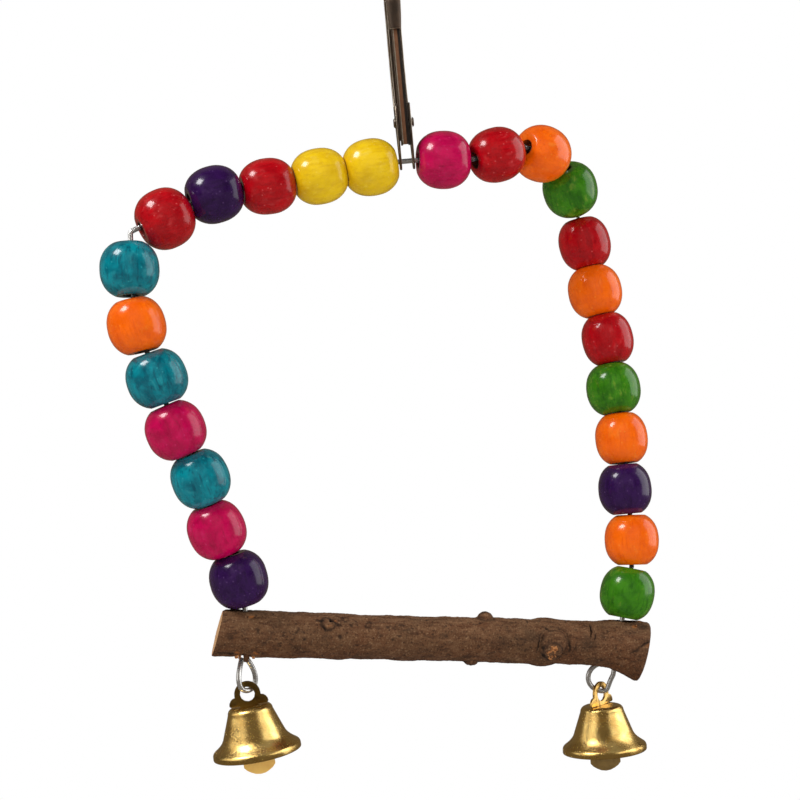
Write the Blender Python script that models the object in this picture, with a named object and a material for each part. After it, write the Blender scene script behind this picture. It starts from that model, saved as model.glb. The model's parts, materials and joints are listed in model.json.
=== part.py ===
"""Hanging bird swing.

One bent wire carries wooden beads and a branch perch, ends in an eye under each end of the
perch, and hangs from a pressed snap clip. A small bell hangs from each eye. Lengths are in
millimetres and angles in degrees until a mesh is finished, which is in metres. +Z is up,
+X runs along the perch, and the origin is the seat inside the top of the clip's hook.
"""

import math
from dataclasses import dataclass

import bmesh
import bpy
from mathutils import Matrix, Vector

MM = 0.001
CLEARANCE = 0.3
SHARP_EDGE = 40.0
DOWN = Vector((0.0, 0.0, -1.0))

# Beads
BEAD_DIAMETER = 18.4
BEAD_LENGTH = 16.3
BEAD_FLAT_DIAMETER = 9.6
BEAD_BORE = 5.0
BEAD_FULLNESS = 2.3
BEAD_SEGMENTS = 16
BEAD_RINGS = 6
BEAD_CLEARANCE = 0.12
BEAD_BEND_CLEARANCE = 0.3

# Each bead from the clip outwards: colour, girth above the nominal diameter, fall of its
# axis below the horizontal, lean of its axis to the back, and how far it lies off the wire
# towards the inside of the arch, which its wide bore allows.
LEFT_BEADS = (
    ("yellow", 0.1, 11, 8, 0.2),
    ("yellow", -0.3, 12, 6, 0.0),
    ("red", -0.4, 10, 2, 0.4),
    ("purple", 0.0, 17, 0, -0.6),
    ("red", 0.9, 27, -2, 1.0),
    ("teal", 0.3, 92, -6, -0.8),
    ("orange", -0.1, 103, -6, -1.2),
    ("teal", 0.8, 110, -3, 0.0),
    ("magenta", 0.5, 114, -2, -0.7),
    ("teal", 0.0, 112, 0, 0.5),
    ("magenta", -0.1, 112, 1, -0.7),
    ("purple", 0.1, 107, 1, 0.7),
)
RIGHT_BEADS = (
    ("magenta", 0.5, -2, -7, 0.0),
    ("red", -0.4, -16, 7, 0.6),
    ("orange", 0.6, 11, 28, -0.1),
    ("green", 0.1, 62, 24, 0.2),
    ("red", -0.8, 79, -9, 0.2),
    ("orange", -0.1, 80, -9, 0.5),
    ("red", -1.0, 81, -9, -0.3),
    ("green", -0.1, 84, -9, 0.9),
    ("orange", -0.7, 87, -8, 0.3),
    ("purple", -0.5, 86, -5, 0.9),
    ("orange", -0.2, 90, -5, -0.3),
    ("green", -0.2, 102, -2, -0.1),
)

# Wire and its two eyes
WIRE_DIAMETER = 1.7
WIRE_BEND_STEP = 15.0
WIRE_BEVEL_RESOLUTION = 2
WIRE_HOLE_CLEARANCE = 0.35
EYE_NECK = 0.5
EYE_STEPS = 18
EYE_SWELL_POWER = 3
EYE_TAIL_STEP = 0.55

# Branch perch
PERCH_DIAMETER = 13.9
PERCH_OVERHANG_LEFT = 8.0
PERCH_OVERHANG_RIGHT = 8.1
PERCH_STATIONS = 20
PERCH_SIDES = 16
PERCH_RIPPLE = 0.18
PERCH_BUTT_FLARE = 5.6
PERCH_BUTT_LENGTH = 18.6
PERCH_BUTT_POWER = 1.3
PERCH_LEFT_SAW_ANGLE = -11.0
PERCH_LEFT_SAW_SWEEP = 6.0
PERCH_RIGHT_SAW_ANGLE = -11.0
PERCH_RIGHT_SAW_SWEEP = 13.0
TWIG_DIAMETER = 5.4
TWIG_LENGTH = 2.0
TWIG_COLLAR = 1.6
TWIG_COLLAR_TOP = 0.7
TWIG_COLLAR_RISE = 0.4
TWIG_ROOT = 3.0
TWIG_FROM_LEFT = 107.4
TWIG_AROUND = -17.5
BUD_SUBDIVISIONS = 2
# Each swelling of the bark: distance from the left end, angle from the front over the top,
# length, breadth and height.
SWELLINGS = (
    ("knot", 33.5, 38, 5.4, 4.8, 1.4),
    ("upper_bud", 86.4, 84, 5.6, 4.4, 4.2),
    ("lower_bud", 82.3, -82, 5.0, 4.0, 2.8),
    ("twig_swelling", 108.2, 2, 8.4, 8.6, 3.2),
)

# Bells, from the wire at the bottom of the eye down
BELL_MOUTH_DIAMETER = 27.5
BELL_CROWN_DIAMETER = 13.2
BELL_HEIGHT = 15.0
BELL_WALL = 0.7
BELL_SHOULDER_RADIUS = 1.8
BELL_SHOULDER_SPREAD = 0.5
BELL_SHOULDER_STEPS = 3
BELL_CONE_SHARE = 0.6
BELL_CONE_SPREAD = 2.6
BELL_FLARE_STEPS = 4
BELL_LIP_RADIUS = 1.4
BELL_LIP_START = 50.0
BELL_LIP_STEPS = 2
BELL_LIP_DROP = 1.2
BELL_SEGMENTS = 24
HANGER_SHEET = 0.8
HANGER_HOLE = 4.5
HANGER_SLACK = 0.35
HANGER_ARCH_WEB = 1.8
HANGER_BASE_WIDTH = 12.2
HANGER_LOBE_HEIGHT = 2.0
HANGER_LOBE_FOOT = 0.4
HANGER_LOBE_STEPS = 4
HANGER_STAND = 3.4
HANGER_TONGUE_WIDTH = 5.6
HANGER_TONGUE_WEB = 1.1
HANGER_TONGUE_TIP = 2.7
HANGER_TONGUE_DROP = 3.5
SLOT_CLEARANCE = 0.25
LINK_HOLE = 2.6
LINK_WIRE = 0.9
LINK_RADIUS = 2.2
LINK_SEGMENTS = 18
LINK_SIDES = 6
CLAPPER_SHEET = 0.9
CLAPPER_WIDTH = 10.6
CLAPPER_LENGTH = 14.9
CLAPPER_TOP_WIDTH = 5.0
CLAPPER_TIP_WIDTH = 3.2
CLAPPER_TIP_HEIGHT = 2.4
CLAPPER_CORNER = 1.5

# Snap clip
CLIP_DROP = 54.9
CLIP_LEAN = 5.3
CLIP_TURN = -14.5
CLIP_WIDTH = 4.8
CLIP_SHEET = 0.7
CLIP_CHEEK = 2.4
HOOK_RADIUS = 5.5
HOOK_NOSE_DROP = 14.2
HOOK_NOSE_TUCK = 0.6
CLIP_BELLY = 10.6
# The back below the belly: share of the clip's drop, and how far it is drawn in to the front.
CLIP_BACK = ((0.42, 0.0), (0.62, 0.4), (0.82, 3.6))
CLIP_MOUTH = 2.0
CLIP_MOUTH_FOOT = 2.4
EAR_TOP_DROP = 37.0
EAR_TIP_RADIUS = 2.7
EAR_TIP_START = 20.0
EAR_TIP_END = -200.0
EAR_FRONT = 4.9
EAR_FRONT_FOOT = 1.5
EAR_CORNER = 1.2
EAR_ROOT = 2.0
RIVET_DROP = 43.0
RIVET_FRONT = 2.2
RIVET_DIAMETER = 2.2
RIVET_HEAD_DIAMETER = 3.4
RIVET_HEAD_HEIGHT = 0.5
RIVET_DOME_SHARE = 0.7
RIVET_CLEARANCE = 0.15
GATE_SHEET = 0.6
GATE_SIDE_CLEARANCE = 0.25
GATE_WIDTH = CLIP_WIDTH - 2 * CLIP_SHEET - 2 * GATE_SIDE_CLEARANCE
GATE_TAPER = 0.4
GATE_TIP_WIDTH = GATE_WIDTH - GATE_TAPER
GATE_TIP_COVER = 3.6
GATE_TIP_DEPTH = 2.0
GATE_FOOT_DROP = 50.2
GATE_FOOT_DEPTH = 3.0
GATE_SLOPE = 1.0
GATE_LOBE = 1.3
GATE_LOBE_START = -50.0
GATE_LOBE_END = 75.0
SPRING_THICKNESS = 0.35
SPRING_WIDTH = 1.1
SPRING_ROOT_RISE = 0.6
SPRING_END_DROP = 1.5
SPRING_BOW = (0.4, 0.8)
ARC_STEPS = 8
ROUND_STEPS = 12


@dataclass(frozen=True)
class Eye:
    """Sizes of one closed wire end and of the bell that hangs in it."""

    hole_fall: float
    height: float
    width: float
    lead: float
    swell: float
    tail_taper: float
    tail_rise: float
    tail_behind: float
    turn: float
    bell_turn: float
    bell_lean: float
    bell_slip: float
    clapper_turn: float


LEFT_EYE = Eye(
    hole_fall=92,
    height=9.9,
    width=8.4,
    lead=0.0,
    swell=1.0,
    tail_taper=1.0,
    tail_rise=0.0,
    tail_behind=WIRE_DIAMETER + CLEARANCE,
    turn=31,
    bell_turn=-16,
    bell_lean=10.0,
    bell_slip=0.3,
    clapper_turn=0,
)
RIGHT_EYE = Eye(
    hole_fall=100,
    height=5.9,
    width=9.0,
    lead=-3.4,
    swell=0.16,
    tail_taper=0.15,
    tail_rise=1.2,
    tail_behind=0.0,
    turn=-16,
    bell_turn=34,
    bell_lean=4.5,
    bell_slip=-0.2,
    clapper_turn=-50,
)

COLOURS = {
    "red": (0.40, 0.004, 0.012),
    "orange": (0.90, 0.16, 0.003),
    "yellow": (0.75, 0.48, 0.015),
    "green": (0.03, 0.20, 0.015),
    "teal": (0.004, 0.20, 0.26),
    "purple": (0.025, 0.008, 0.08),
    "magenta": (0.54, 0.003, 0.09),
    "bark": (0.11, 0.06, 0.032),
    "galvanised": (0.60, 0.62, 0.64),
    "brass": (0.58, 0.38, 0.10),
    "dark_brass": (0.42, 0.24, 0.05),
    "bronze": (0.06, 0.045, 0.035),
}


def clear_scene():
    """Removes every object that is already in the scene."""
    for obj in list(bpy.data.objects):
        bpy.data.objects.remove(obj, do_unlink=True)


def material(name, metallic, roughness):
    """Returns the Principled material of that colour name, made on first use."""
    if name in bpy.data.materials:
        return bpy.data.materials[name]
    made = bpy.data.materials.new(name)
    made.use_nodes = True
    shader = made.node_tree.nodes["Principled BSDF"]
    shader.inputs["Base Color"].default_value = (*COLOURS[name], 1.0)
    shader.inputs["Metallic"].default_value = metallic
    shader.inputs["Roughness"].default_value = roughness
    return made


def paint(name):
    """Lacquered wood of one bead colour."""
    return material(name, 0.0, 0.35)


def metal(name):
    """Bare or plated metal."""
    return material(name, 1.0, 0.3)


def put(obj, place, parent=None):
    """Places an object by its world matrix and hangs it on a parent that stays where it is."""
    bpy.context.scene.collection.objects.link(obj)
    obj.matrix_basis = place
    if parent is not None:
        obj.parent = parent
        obj.matrix_parent_inverse = parent.matrix_basis.inverted()
    return obj


def pivot(name, place, parent=None):
    """An empty on a joint's axis."""
    return put(bpy.data.objects.new(name, None), place, parent)


def metres(place):
    """The same placement with its translation in metres."""
    return Matrix.Translation(place.to_translation() * MM) @ place.to_3x3().to_4x4()


def solid(name, shape, place, finish, parent=None):
    """Turns a closed bmesh in millimetres into a smooth-shaded object.

    The shape is written in the object's own frame, which place puts in the world.
    """
    bmesh.ops.remove_doubles(shape, verts=shape.verts, dist=0.001)
    bmesh.ops.recalc_face_normals(shape, faces=shape.faces)
    shape.transform(Matrix.Scale(MM, 4))
    mesh = bpy.data.meshes.new(name)
    shape.to_mesh(mesh)
    shape.free()
    mesh.materials.append(finish)
    mesh.shade_smooth()
    mesh.set_sharp_from_angle(angle=math.radians(SHARP_EDGE))
    return put(bpy.data.objects.new(name, mesh), metres(place), parent)


def boolean(obj, name, shape, place, operation):
    """Adds one Boolean step to an object, with the other shape as a hidden helper."""
    helper = solid(name, shape, place, obj.data.materials[0], obj)
    helper.hide_render = True
    helper.display_type = "WIRE"
    step = obj.modifiers.new(name, "BOOLEAN")
    step.operation = operation
    step.object = helper
    return helper


def arc(centre, radius, start, end, steps):
    """Points of an arc in a plane, both ends included."""
    angles = (math.radians(start + (end - start) * i / steps) for i in range(steps + 1))
    return [(centre[0] + radius * math.cos(a), centre[1] + radius * math.sin(a)) for a in angles]


def circle(centre, diameter, steps=ROUND_STEPS):
    """Points round a hole, with the facets' middles on the diameter asked for."""
    return arc(centre, diameter / 2 / math.cos(math.pi / steps), 0, 360, steps)[:-1]


def plate(outline, holes, thickness):
    """A flat sheet in the XY plane with holes, centred on its thickness."""
    shape = bmesh.new()
    for loop in (outline, *holes):
        verts = [shape.verts.new((x, y, -thickness / 2)) for x, y in loop]
        for first, second in zip(verts, verts[1:] + verts[:1]):
            shape.edges.new((first, second))
    bmesh.ops.triangle_fill(shape, edges=shape.edges, use_beauty=True, normal=(0, 0, 1))
    raised = bmesh.ops.extrude_face_region(shape, geom=shape.faces[:])
    tops = [item for item in raised["geom"] if isinstance(item, bmesh.types.BMVert)]
    bmesh.ops.translate(shape, verts=tops, vec=(0, 0, thickness))
    return shape


def turned(profile, segments):
    """A body of revolution about Z from a closed profile of radius and height pairs."""
    shape = bmesh.new()
    verts = [shape.verts.new((radius, 0, height)) for radius, height in profile]
    for first, second in zip(verts, verts[1:] + verts[:1]):
        if first.co.x > 0 or second.co.x > 0:
            shape.edges.new((first, second))
    bmesh.ops.spin(
        shape,
        geom=shape.verts[:] + shape.edges[:],
        axis=(0, 0, 1),
        cent=(0, 0, 0),
        angle=math.tau,
        steps=segments,
        use_merge=True,
    )
    return shape


def rod(diameter, start, end, segments=ROUND_STEPS):
    """A plain round rod along Z."""
    radius = diameter / 2
    return turned([(0, start), (radius, start), (radius, end), (0, end)], segments)


def frame_along(origin, axis, across):
    """A placement whose Z runs along axis and whose X leans towards across."""
    up = axis.normalized()
    side = (across - up * across.dot(up)).normalized()
    back = up.cross(side)
    turn = Matrix((side, back, up)).transposed().to_4x4()
    return Matrix.Translation(origin) @ turn


def turn_about_z(degrees):
    """A rotation about the upright axis."""
    return Matrix.Rotation(math.radians(degrees), 4, "Z")


def sideways(turn):
    """A level direction, turned from +X about Z."""
    return Vector((math.cos(math.radians(turn)), math.sin(math.radians(turn)), 0.0))


CLIP_PLACE = turn_about_z(CLIP_TURN) @ Matrix.Rotation(math.radians(-CLIP_LEAN), 4, "Y")
WIRE_SEAT = CLIP_PLACE @ Vector((0, 0, -CLIP_DROP))
WIRE_ACROSS = (CLIP_PLACE.to_3x3() @ Vector((1, 0, 0))).normalized()


def bead_profile(diameter):
    """Outside of a bead from its lower to its upper end face, as radius and height pairs."""
    half = BEAD_LENGTH / 2
    girth = diameter / 2
    end_share = (BEAD_FLAT_DIAMETER / diameter) ** BEAD_FULLNESS
    full = half / (1 - end_share) ** (1 / BEAD_FULLNESS)
    points = []
    for i in range(BEAD_RINGS + 1):
        height = half * math.sin(math.pi * (i / BEAD_RINGS - 0.5))
        radius = girth * (1 - abs(height / full) ** BEAD_FULLNESS) ** (1 / BEAD_FULLNESS)
        points.append((radius, height))
    return points


def bead_room(diameter, bend):
    """Room that a bead needs between its end face and a corner where the wire bends."""
    half = BEAD_LENGTH / 2
    slope = math.tan(bend / 2)
    reach = max(height - half + radius * slope for radius, height in bead_profile(diameter))
    return reach + BEAD_CLEARANCE / 2 + BEAD_BEND_CLEARANCE * slope


@dataclass
class Side:
    """One half of the arch: its beads' places and the wire's route from the clip outwards."""

    beads: list
    route: list
    perch_top: Vector
    eye: Eye
    hole_start: Vector
    hole_axis: Vector
    eye_top: Vector = None
    eye_bottom: Vector = None
    eye_across: Vector = None


def bend_points(before, corner, after):
    """The wire's rounded corner between two straight runs."""
    angle = math.degrees((corner - before).angle(after - corner))
    steps = round(angle / WIRE_BEND_STEP)
    if steps < 1:
        return [corner]
    points = []
    for i in range(steps + 1):
        t = i / steps
        points.append(before * (1 - t) ** 2 + corner * 2 * t * (1 - t) + after * t**2)
    return points


def thread_side(sign, beads, eye):
    """Threads one side's beads on the wire, each as near to the last as their shapes allow."""
    heading = WIRE_ACROSS * sign
    point = WIRE_SEAT + heading * (CLIP_WIDTH / 2 + CLEARANCE)
    side = Side([], [WIRE_SEAT], None, eye, None, None)
    room = 0.0
    for colour, girth, fall, lean, slack in beads:
        axis = arch_direction(sign, fall, lean)
        diameter = BEAD_DIAMETER + girth
        bend = heading.angle(axis)
        if side.beads:
            room = max(bead_room(diameter, bend), bead_room(side.beads[-1][1], bend))
            corner = point + heading * room
            start = corner + axis * room
            side.route += bend_points(point, corner, start)
        else:
            corner = point
            start = corner + axis * bead_room(diameter, 2 * bend)
            side.route.append(corner)
        centre = start + axis * BEAD_LENGTH / 2 + arch_direction(sign, fall + 90, 0) * slack
        side.beads.append((colour, diameter, centre, axis))
        point = start + axis * BEAD_LENGTH
        heading = axis
    side.hole_axis = arch_direction(sign, eye.hole_fall, 0)
    room = bead_room(side.beads[-1][1], heading.angle(side.hole_axis))
    side.hole_start = point + heading * room
    side.route += [point, side.hole_start]
    tilt = heading.angle(DOWN)
    half = BEAD_LENGTH / 2
    lowest = max(
        (height - half) * math.cos(tilt) + radius * math.sin(tilt)
        for radius, height in bead_profile(side.beads[-1][1])
    )
    side.perch_top = point + DOWN * (lowest + CLEARANCE + PERCH_RIPPLE)
    return side


def arch_direction(sign, fall, lean):
    """A direction in the arch that runs outwards, falls below the level and leans to the back."""
    fall = math.radians(fall)
    lean = math.radians(lean)
    return Vector(
        (sign * math.cos(fall) * math.cos(lean), math.sin(lean), -math.sin(fall) * math.cos(lean))
    )


class Perch:
    """The branch's own frame and the radius of its bark along its length."""

    def __init__(self, left, right):
        along = (right.perch_top - left.perch_top).normalized()
        self.up = (Vector((0, 0, 1)) - along * along.z).normalized()
        back = self.up.cross(along)
        self.start = left.perch_top - along * PERCH_OVERHANG_LEFT - self.up * PERCH_DIAMETER / 2
        span = (right.perch_top - left.perch_top).length
        self.length = PERCH_OVERHANG_LEFT + span + PERCH_OVERHANG_RIGHT
        turn = Matrix((along, back, self.up)).transposed().to_4x4()
        self.place = Matrix.Translation(self.start) @ turn

    def butt(self, x):
        """Extra radius of the thick end."""
        into = max(0.0, x - (self.length - PERCH_BUTT_LENGTH)) / PERCH_BUTT_LENGTH
        return PERCH_BUTT_FLARE / 2 * into**PERCH_BUTT_POWER

    def point(self, x, angle):
        """A point of the bark in the perch's frame, at an angle from the front over the top."""
        wave = math.sin(3 * angle + x / 9) + math.sin(2 * angle - x / 13)
        radius = PERCH_DIAMETER / 2 + self.butt(x) + PERCH_RIPPLE / 2 * wave
        return Vector((x, -radius * math.cos(angle), radius * math.sin(angle) - self.butt(x)))

    def exit_distance(self, side):
        """How far the wire runs from its last bend to where it leaves the bark below."""
        start = self.place.inverted() @ side.hole_start
        axis = (self.place.to_3x3().inverted() @ side.hole_axis).normalized()
        underside = -PERCH_DIAMETER / 2 - 2 * self.butt(start.x) - PERCH_RIPPLE
        return (underside - start.z) / axis.z


def eye_route(side, perch):
    """Closes one wire end into an eye under the perch, with its tail behind its start."""
    eye = side.eye
    across = sideways(eye.turn)
    down = side.hole_axis
    side.eye_across = (across - down * across.dot(down)).normalized()
    behind = side.eye_across.cross(down) * eye.tail_behind
    side.eye_top = side.hole_start + down * (perch.exit_distance(side) + EYE_NECK)
    side.eye_bottom = side.eye_top + down * eye.height + side.eye_across * eye.lead
    widest = max(math.sin(math.radians(a)) * math.sin(math.radians(a / 2)) for a in range(181))
    half_width = (eye.width - WIRE_DIAMETER) / 2 / widest
    last = math.tau - EYE_TAIL_STEP
    for i in range(EYE_STEPS + 1):
        t = last * i / EYE_STEPS
        drop = (1 - math.cos(t)) / 2
        if t < math.pi:
            swell = eye.swell + (1 - eye.swell) * (t / math.pi) ** EYE_SWELL_POWER
            out = half_width * swell * math.sin(t) * math.sin(t / 2) + eye.lead * drop
            fall = eye.height * drop
            back = 0.0
        else:
            out = half_width * math.sin(t) * math.sin(t / 2) ** eye.tail_taper + eye.lead
            fall = (eye.height + eye.tail_rise) * drop - eye.tail_rise
            back = (t - math.pi) / (last - math.pi)
        spot = side.eye_top + side.eye_across * out + down * fall
        side.route.append(spot + behind * (1 - math.cos(math.pi * back**2)) / 2)


def make_beads(label, side, swing):
    """Makes one side's beads, each turning on its own axis."""
    for index, (colour, diameter, centre, axis) in enumerate(side.beads, 1):
        half = BEAD_LENGTH / 2
        bore = BEAD_BORE / 2
        profile = [(bore, -half), *bead_profile(diameter), (bore, half)]
        name = f"bead_{label}_{index:02d}_{colour}"
        place = frame_along(centre, axis, sideways(0))
        solid(name, turned(profile, BEAD_SEGMENTS), place, paint(colour), swing)


def make_wire(left, right, swing):
    """Makes the arch wire as one round tube from eye to eye."""
    route = left.route[:0:-1] + right.route
    data = bpy.data.curves.new("swing_wire", "CURVE")
    data.dimensions = "3D"
    data.bevel_depth = WIRE_DIAMETER / 2 * MM
    data.bevel_resolution = WIRE_BEVEL_RESOLUTION
    data.use_fill_caps = True
    spline = data.splines.new("POLY")
    spline.points.add(len(route) - 1)
    for spot, point in zip(spline.points, route):
        spot.co = (*((point - WIRE_SEAT) * MM), 1.0)
    data.materials.append(metal("galvanised"))
    put(bpy.data.objects.new("swing_wire", data), metres(Matrix.Translation(WIRE_SEAT)), swing)


def branch(perch):
    """The branch as rings of bark between two sawn ends."""
    shape = bmesh.new()
    rings = []
    for i in range(PERCH_STATIONS + 1):
        x = perch.length * i / PERCH_STATIONS
        ring = []
        for k in range(PERCH_SIDES):
            point = perch.point(x, math.tau * k / PERCH_SIDES)
            if i == 0:
                point.x -= math.tan(math.radians(PERCH_LEFT_SAW_ANGLE)) * point.z
                point.x += math.tan(math.radians(PERCH_LEFT_SAW_SWEEP)) * point.y
            if i == PERCH_STATIONS:
                point.x -= math.tan(math.radians(PERCH_RIGHT_SAW_ANGLE)) * point.z
                point.x += math.tan(math.radians(PERCH_RIGHT_SAW_SWEEP)) * point.y
            ring.append(shape.verts.new(point))
        rings.append(ring)
    for first, second in zip(rings, rings[1:]):
        for k in range(PERCH_SIDES):
            after = (k + 1) % PERCH_SIDES
            shape.faces.new((first[k], first[after], second[after], second[k]))
    shape.faces.new(rings[0])
    shape.faces.new(rings[-1])
    return shape


def make_perch(perch, sides, swing):
    """Makes the branch perch with its buds, knot, cut twig and wire holes."""
    obj = solid("perch", branch(perch), perch.place, material("bark", 0.0, 0.85), swing)
    for name, x, angle, length, breadth, height in SWELLINGS:
        shape = bmesh.new()
        bmesh.ops.create_icosphere(shape, subdivisions=BUD_SUBDIVISIONS, radius=0.5)
        shape.transform(Matrix.Diagonal((length, breadth, height, 1)))
        boolean(obj, name, shape, perch.place @ bark_place(perch, x, angle), "UNION")
    radius = TWIG_DIAMETER / 2
    collar = [
        (0, -TWIG_ROOT),
        (radius + TWIG_COLLAR, -TWIG_ROOT),
        (radius + TWIG_COLLAR_TOP, TWIG_COLLAR_RISE),
    ]
    twig = turned([*collar, (radius, TWIG_LENGTH), (0, TWIG_LENGTH)], ROUND_STEPS)
    place = perch.place @ bark_place(perch, TWIG_FROM_LEFT, TWIG_AROUND)
    boolean(obj, "cut_twig", twig, place, "UNION")
    for label, side in sides:
        length = perch.exit_distance(side)
        drill = rod(WIRE_DIAMETER + 2 * WIRE_HOLE_CLEARANCE, 0, length + EYE_NECK)
        place = frame_along(side.hole_start, side.hole_axis, sideways(90))
        boolean(obj, f"{label}_wire_hole", drill, place, "DIFFERENCE")


def bark_place(perch, x, degrees):
    """A frame on the bark, with its Z out of the bark and its X along the branch."""
    angle = math.radians(degrees)
    out = Vector((0, -math.cos(angle), math.sin(angle)))
    return frame_along(perch.point(x, angle), out, Vector((1, 0, 0)))


def bell_levels(slip):
    """Heights in a bell's frame, whose origin is beside the wire in the hanger's upper hole."""
    hole = -math.sqrt((HANGER_HOLE / 2 - WIRE_DIAMETER / 2 - HANGER_SLACK) ** 2 - slip**2)
    crown = hole - HANGER_STAND - CLEARANCE
    tongue_hole = crown - HANGER_TONGUE_DROP
    link_top = tongue_hole - LINK_HOLE / 2 + CLEARANCE + LINK_WIRE / 2
    link_bottom = link_top - 2 * LINK_RADIUS
    clapper_hole = link_bottom + LINK_WIRE / 2 + CLEARANCE - LINK_HOLE / 2
    return hole, crown, tongue_hole, link_top, link_bottom, clapper_hole


def bell_wall():
    """Outer radius and depth below the crown along the wall: cone, flare and rolled lip."""
    top = BELL_CROWN_DIAMETER / 2 + BELL_SHOULDER_SPREAD
    mouth = BELL_MOUTH_DIAMETER / 2
    cone_foot = BELL_HEIGHT * BELL_CONE_SHARE
    slope = BELL_CONE_SPREAD / (cone_foot - BELL_SHOULDER_RADIUS)
    centre = (mouth - BELL_LIP_RADIUS, BELL_HEIGHT - BELL_LIP_DROP)
    lip = arc(centre, BELL_LIP_RADIUS, -BELL_LIP_START, 0, BELL_LIP_STEPS)
    lip_radius, lip_top = lip[0]
    flare = lip_radius - top - slope * (lip_top - BELL_SHOULDER_RADIUS)
    wall = [(top, BELL_SHOULDER_RADIUS)]
    for i in range(BELL_FLARE_STEPS):
        share = i / BELL_FLARE_STEPS
        depth = cone_foot + (lip_top - cone_foot) * share
        wall.append((top + slope * (depth - BELL_SHOULDER_RADIUS) + flare * share**2, depth))
    return wall + lip + [(mouth, BELL_HEIGHT)]


def shell_profile(crown):
    """Closed section of a bell shell: crown, rounded shoulder, flared wall and rim."""
    shoulder_x = BELL_CROWN_DIAMETER / 2 + BELL_SHOULDER_SPREAD - BELL_SHOULDER_RADIUS
    centre = (shoulder_x, crown - BELL_SHOULDER_RADIUS)
    steps = BELL_SHOULDER_STEPS
    wall = bell_wall()
    outer = arc(centre, BELL_SHOULDER_RADIUS, 90, 0, steps)[:-1]
    outer += [(radius, crown - depth) for radius, depth in wall]
    inner = arc(centre, BELL_SHOULDER_RADIUS - BELL_WALL, 90, 0, steps)[:-1]
    inner += [(radius - BELL_WALL, crown - depth) for radius, depth in wall]
    return [(0, crown), *outer, *inner[::-1], (0, crown - BELL_WALL)]


def hanger_outline(hole, crown, tongue_hole):
    """Outline of the hanger sheet: arch, rounded shoulders and the tongue through the crown."""
    base = crown + CLEARANCE
    half = HANGER_BASE_WIDTH / 2
    arch = HANGER_HOLE / 2 + HANGER_ARCH_WEB
    tongue = HANGER_TONGUE_WIDTH / 2
    tip = HANGER_TONGUE_TIP / 2
    foot = tongue_hole - LINK_HOLE / 2 - HANGER_TONGUE_WEB
    foot_top = foot + tongue - tip
    lobe = []
    for i in range(HANGER_LOBE_STEPS + 1):
        angle = math.radians(90 * i / HANGER_LOBE_STEPS)
        rise = (HANGER_LOBE_HEIGHT - HANGER_LOBE_FOOT) * math.sin(angle)
        lobe.append((arch + (half - arch) * math.cos(angle), base + HANGER_LOBE_FOOT + rise))
    right = [(tongue, base), (half - HANGER_LOBE_FOOT, base), *lobe]
    left = [(-x, z) for x, z in reversed(right)]
    end = [(-tongue, foot_top), (-tip, foot), (tip, foot), (tongue, foot_top)]
    return right + arc((0, hole), arch, 0, 180, ROUND_STEPS) + left + end


def eased(corners, reach):
    """Rounds the corners of a chain of points, apart from its two ends."""
    points = [corners[0]]
    for before, corner, after in zip(corners, corners[1:], corners[2:]):
        spot = Vector(corner)
        start = spot + (Vector(before) - spot).normalized() * reach
        end = spot + (Vector(after) - spot).normalized() * reach
        points += [tuple(start), tuple((start + 2 * spot + end) / 4), tuple(end)]
    return points + [corners[-1]]


def clapper_outline(hole):
    """Outline of the flat clapper, narrow at its hole and broad at its foot."""
    top = hole + LINK_HOLE / 2 + HANGER_TONGUE_WEB
    foot = top - CLAPPER_LENGTH
    half = CLAPPER_WIDTH / 2
    tip = CLAPPER_TIP_WIDTH / 2
    shoulder = CLAPPER_TOP_WIDTH / 2
    broad = foot + CLAPPER_TIP_HEIGHT
    ring = arc((0, top - shoulder), shoulder, 0, 180, ARC_STEPS)
    corners = [ring[-1], (-half, broad), (-tip, foot), (tip, foot), (half, broad), ring[0]]
    return eased(corners, CLAPPER_CORNER)[1:-1] + ring


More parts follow.
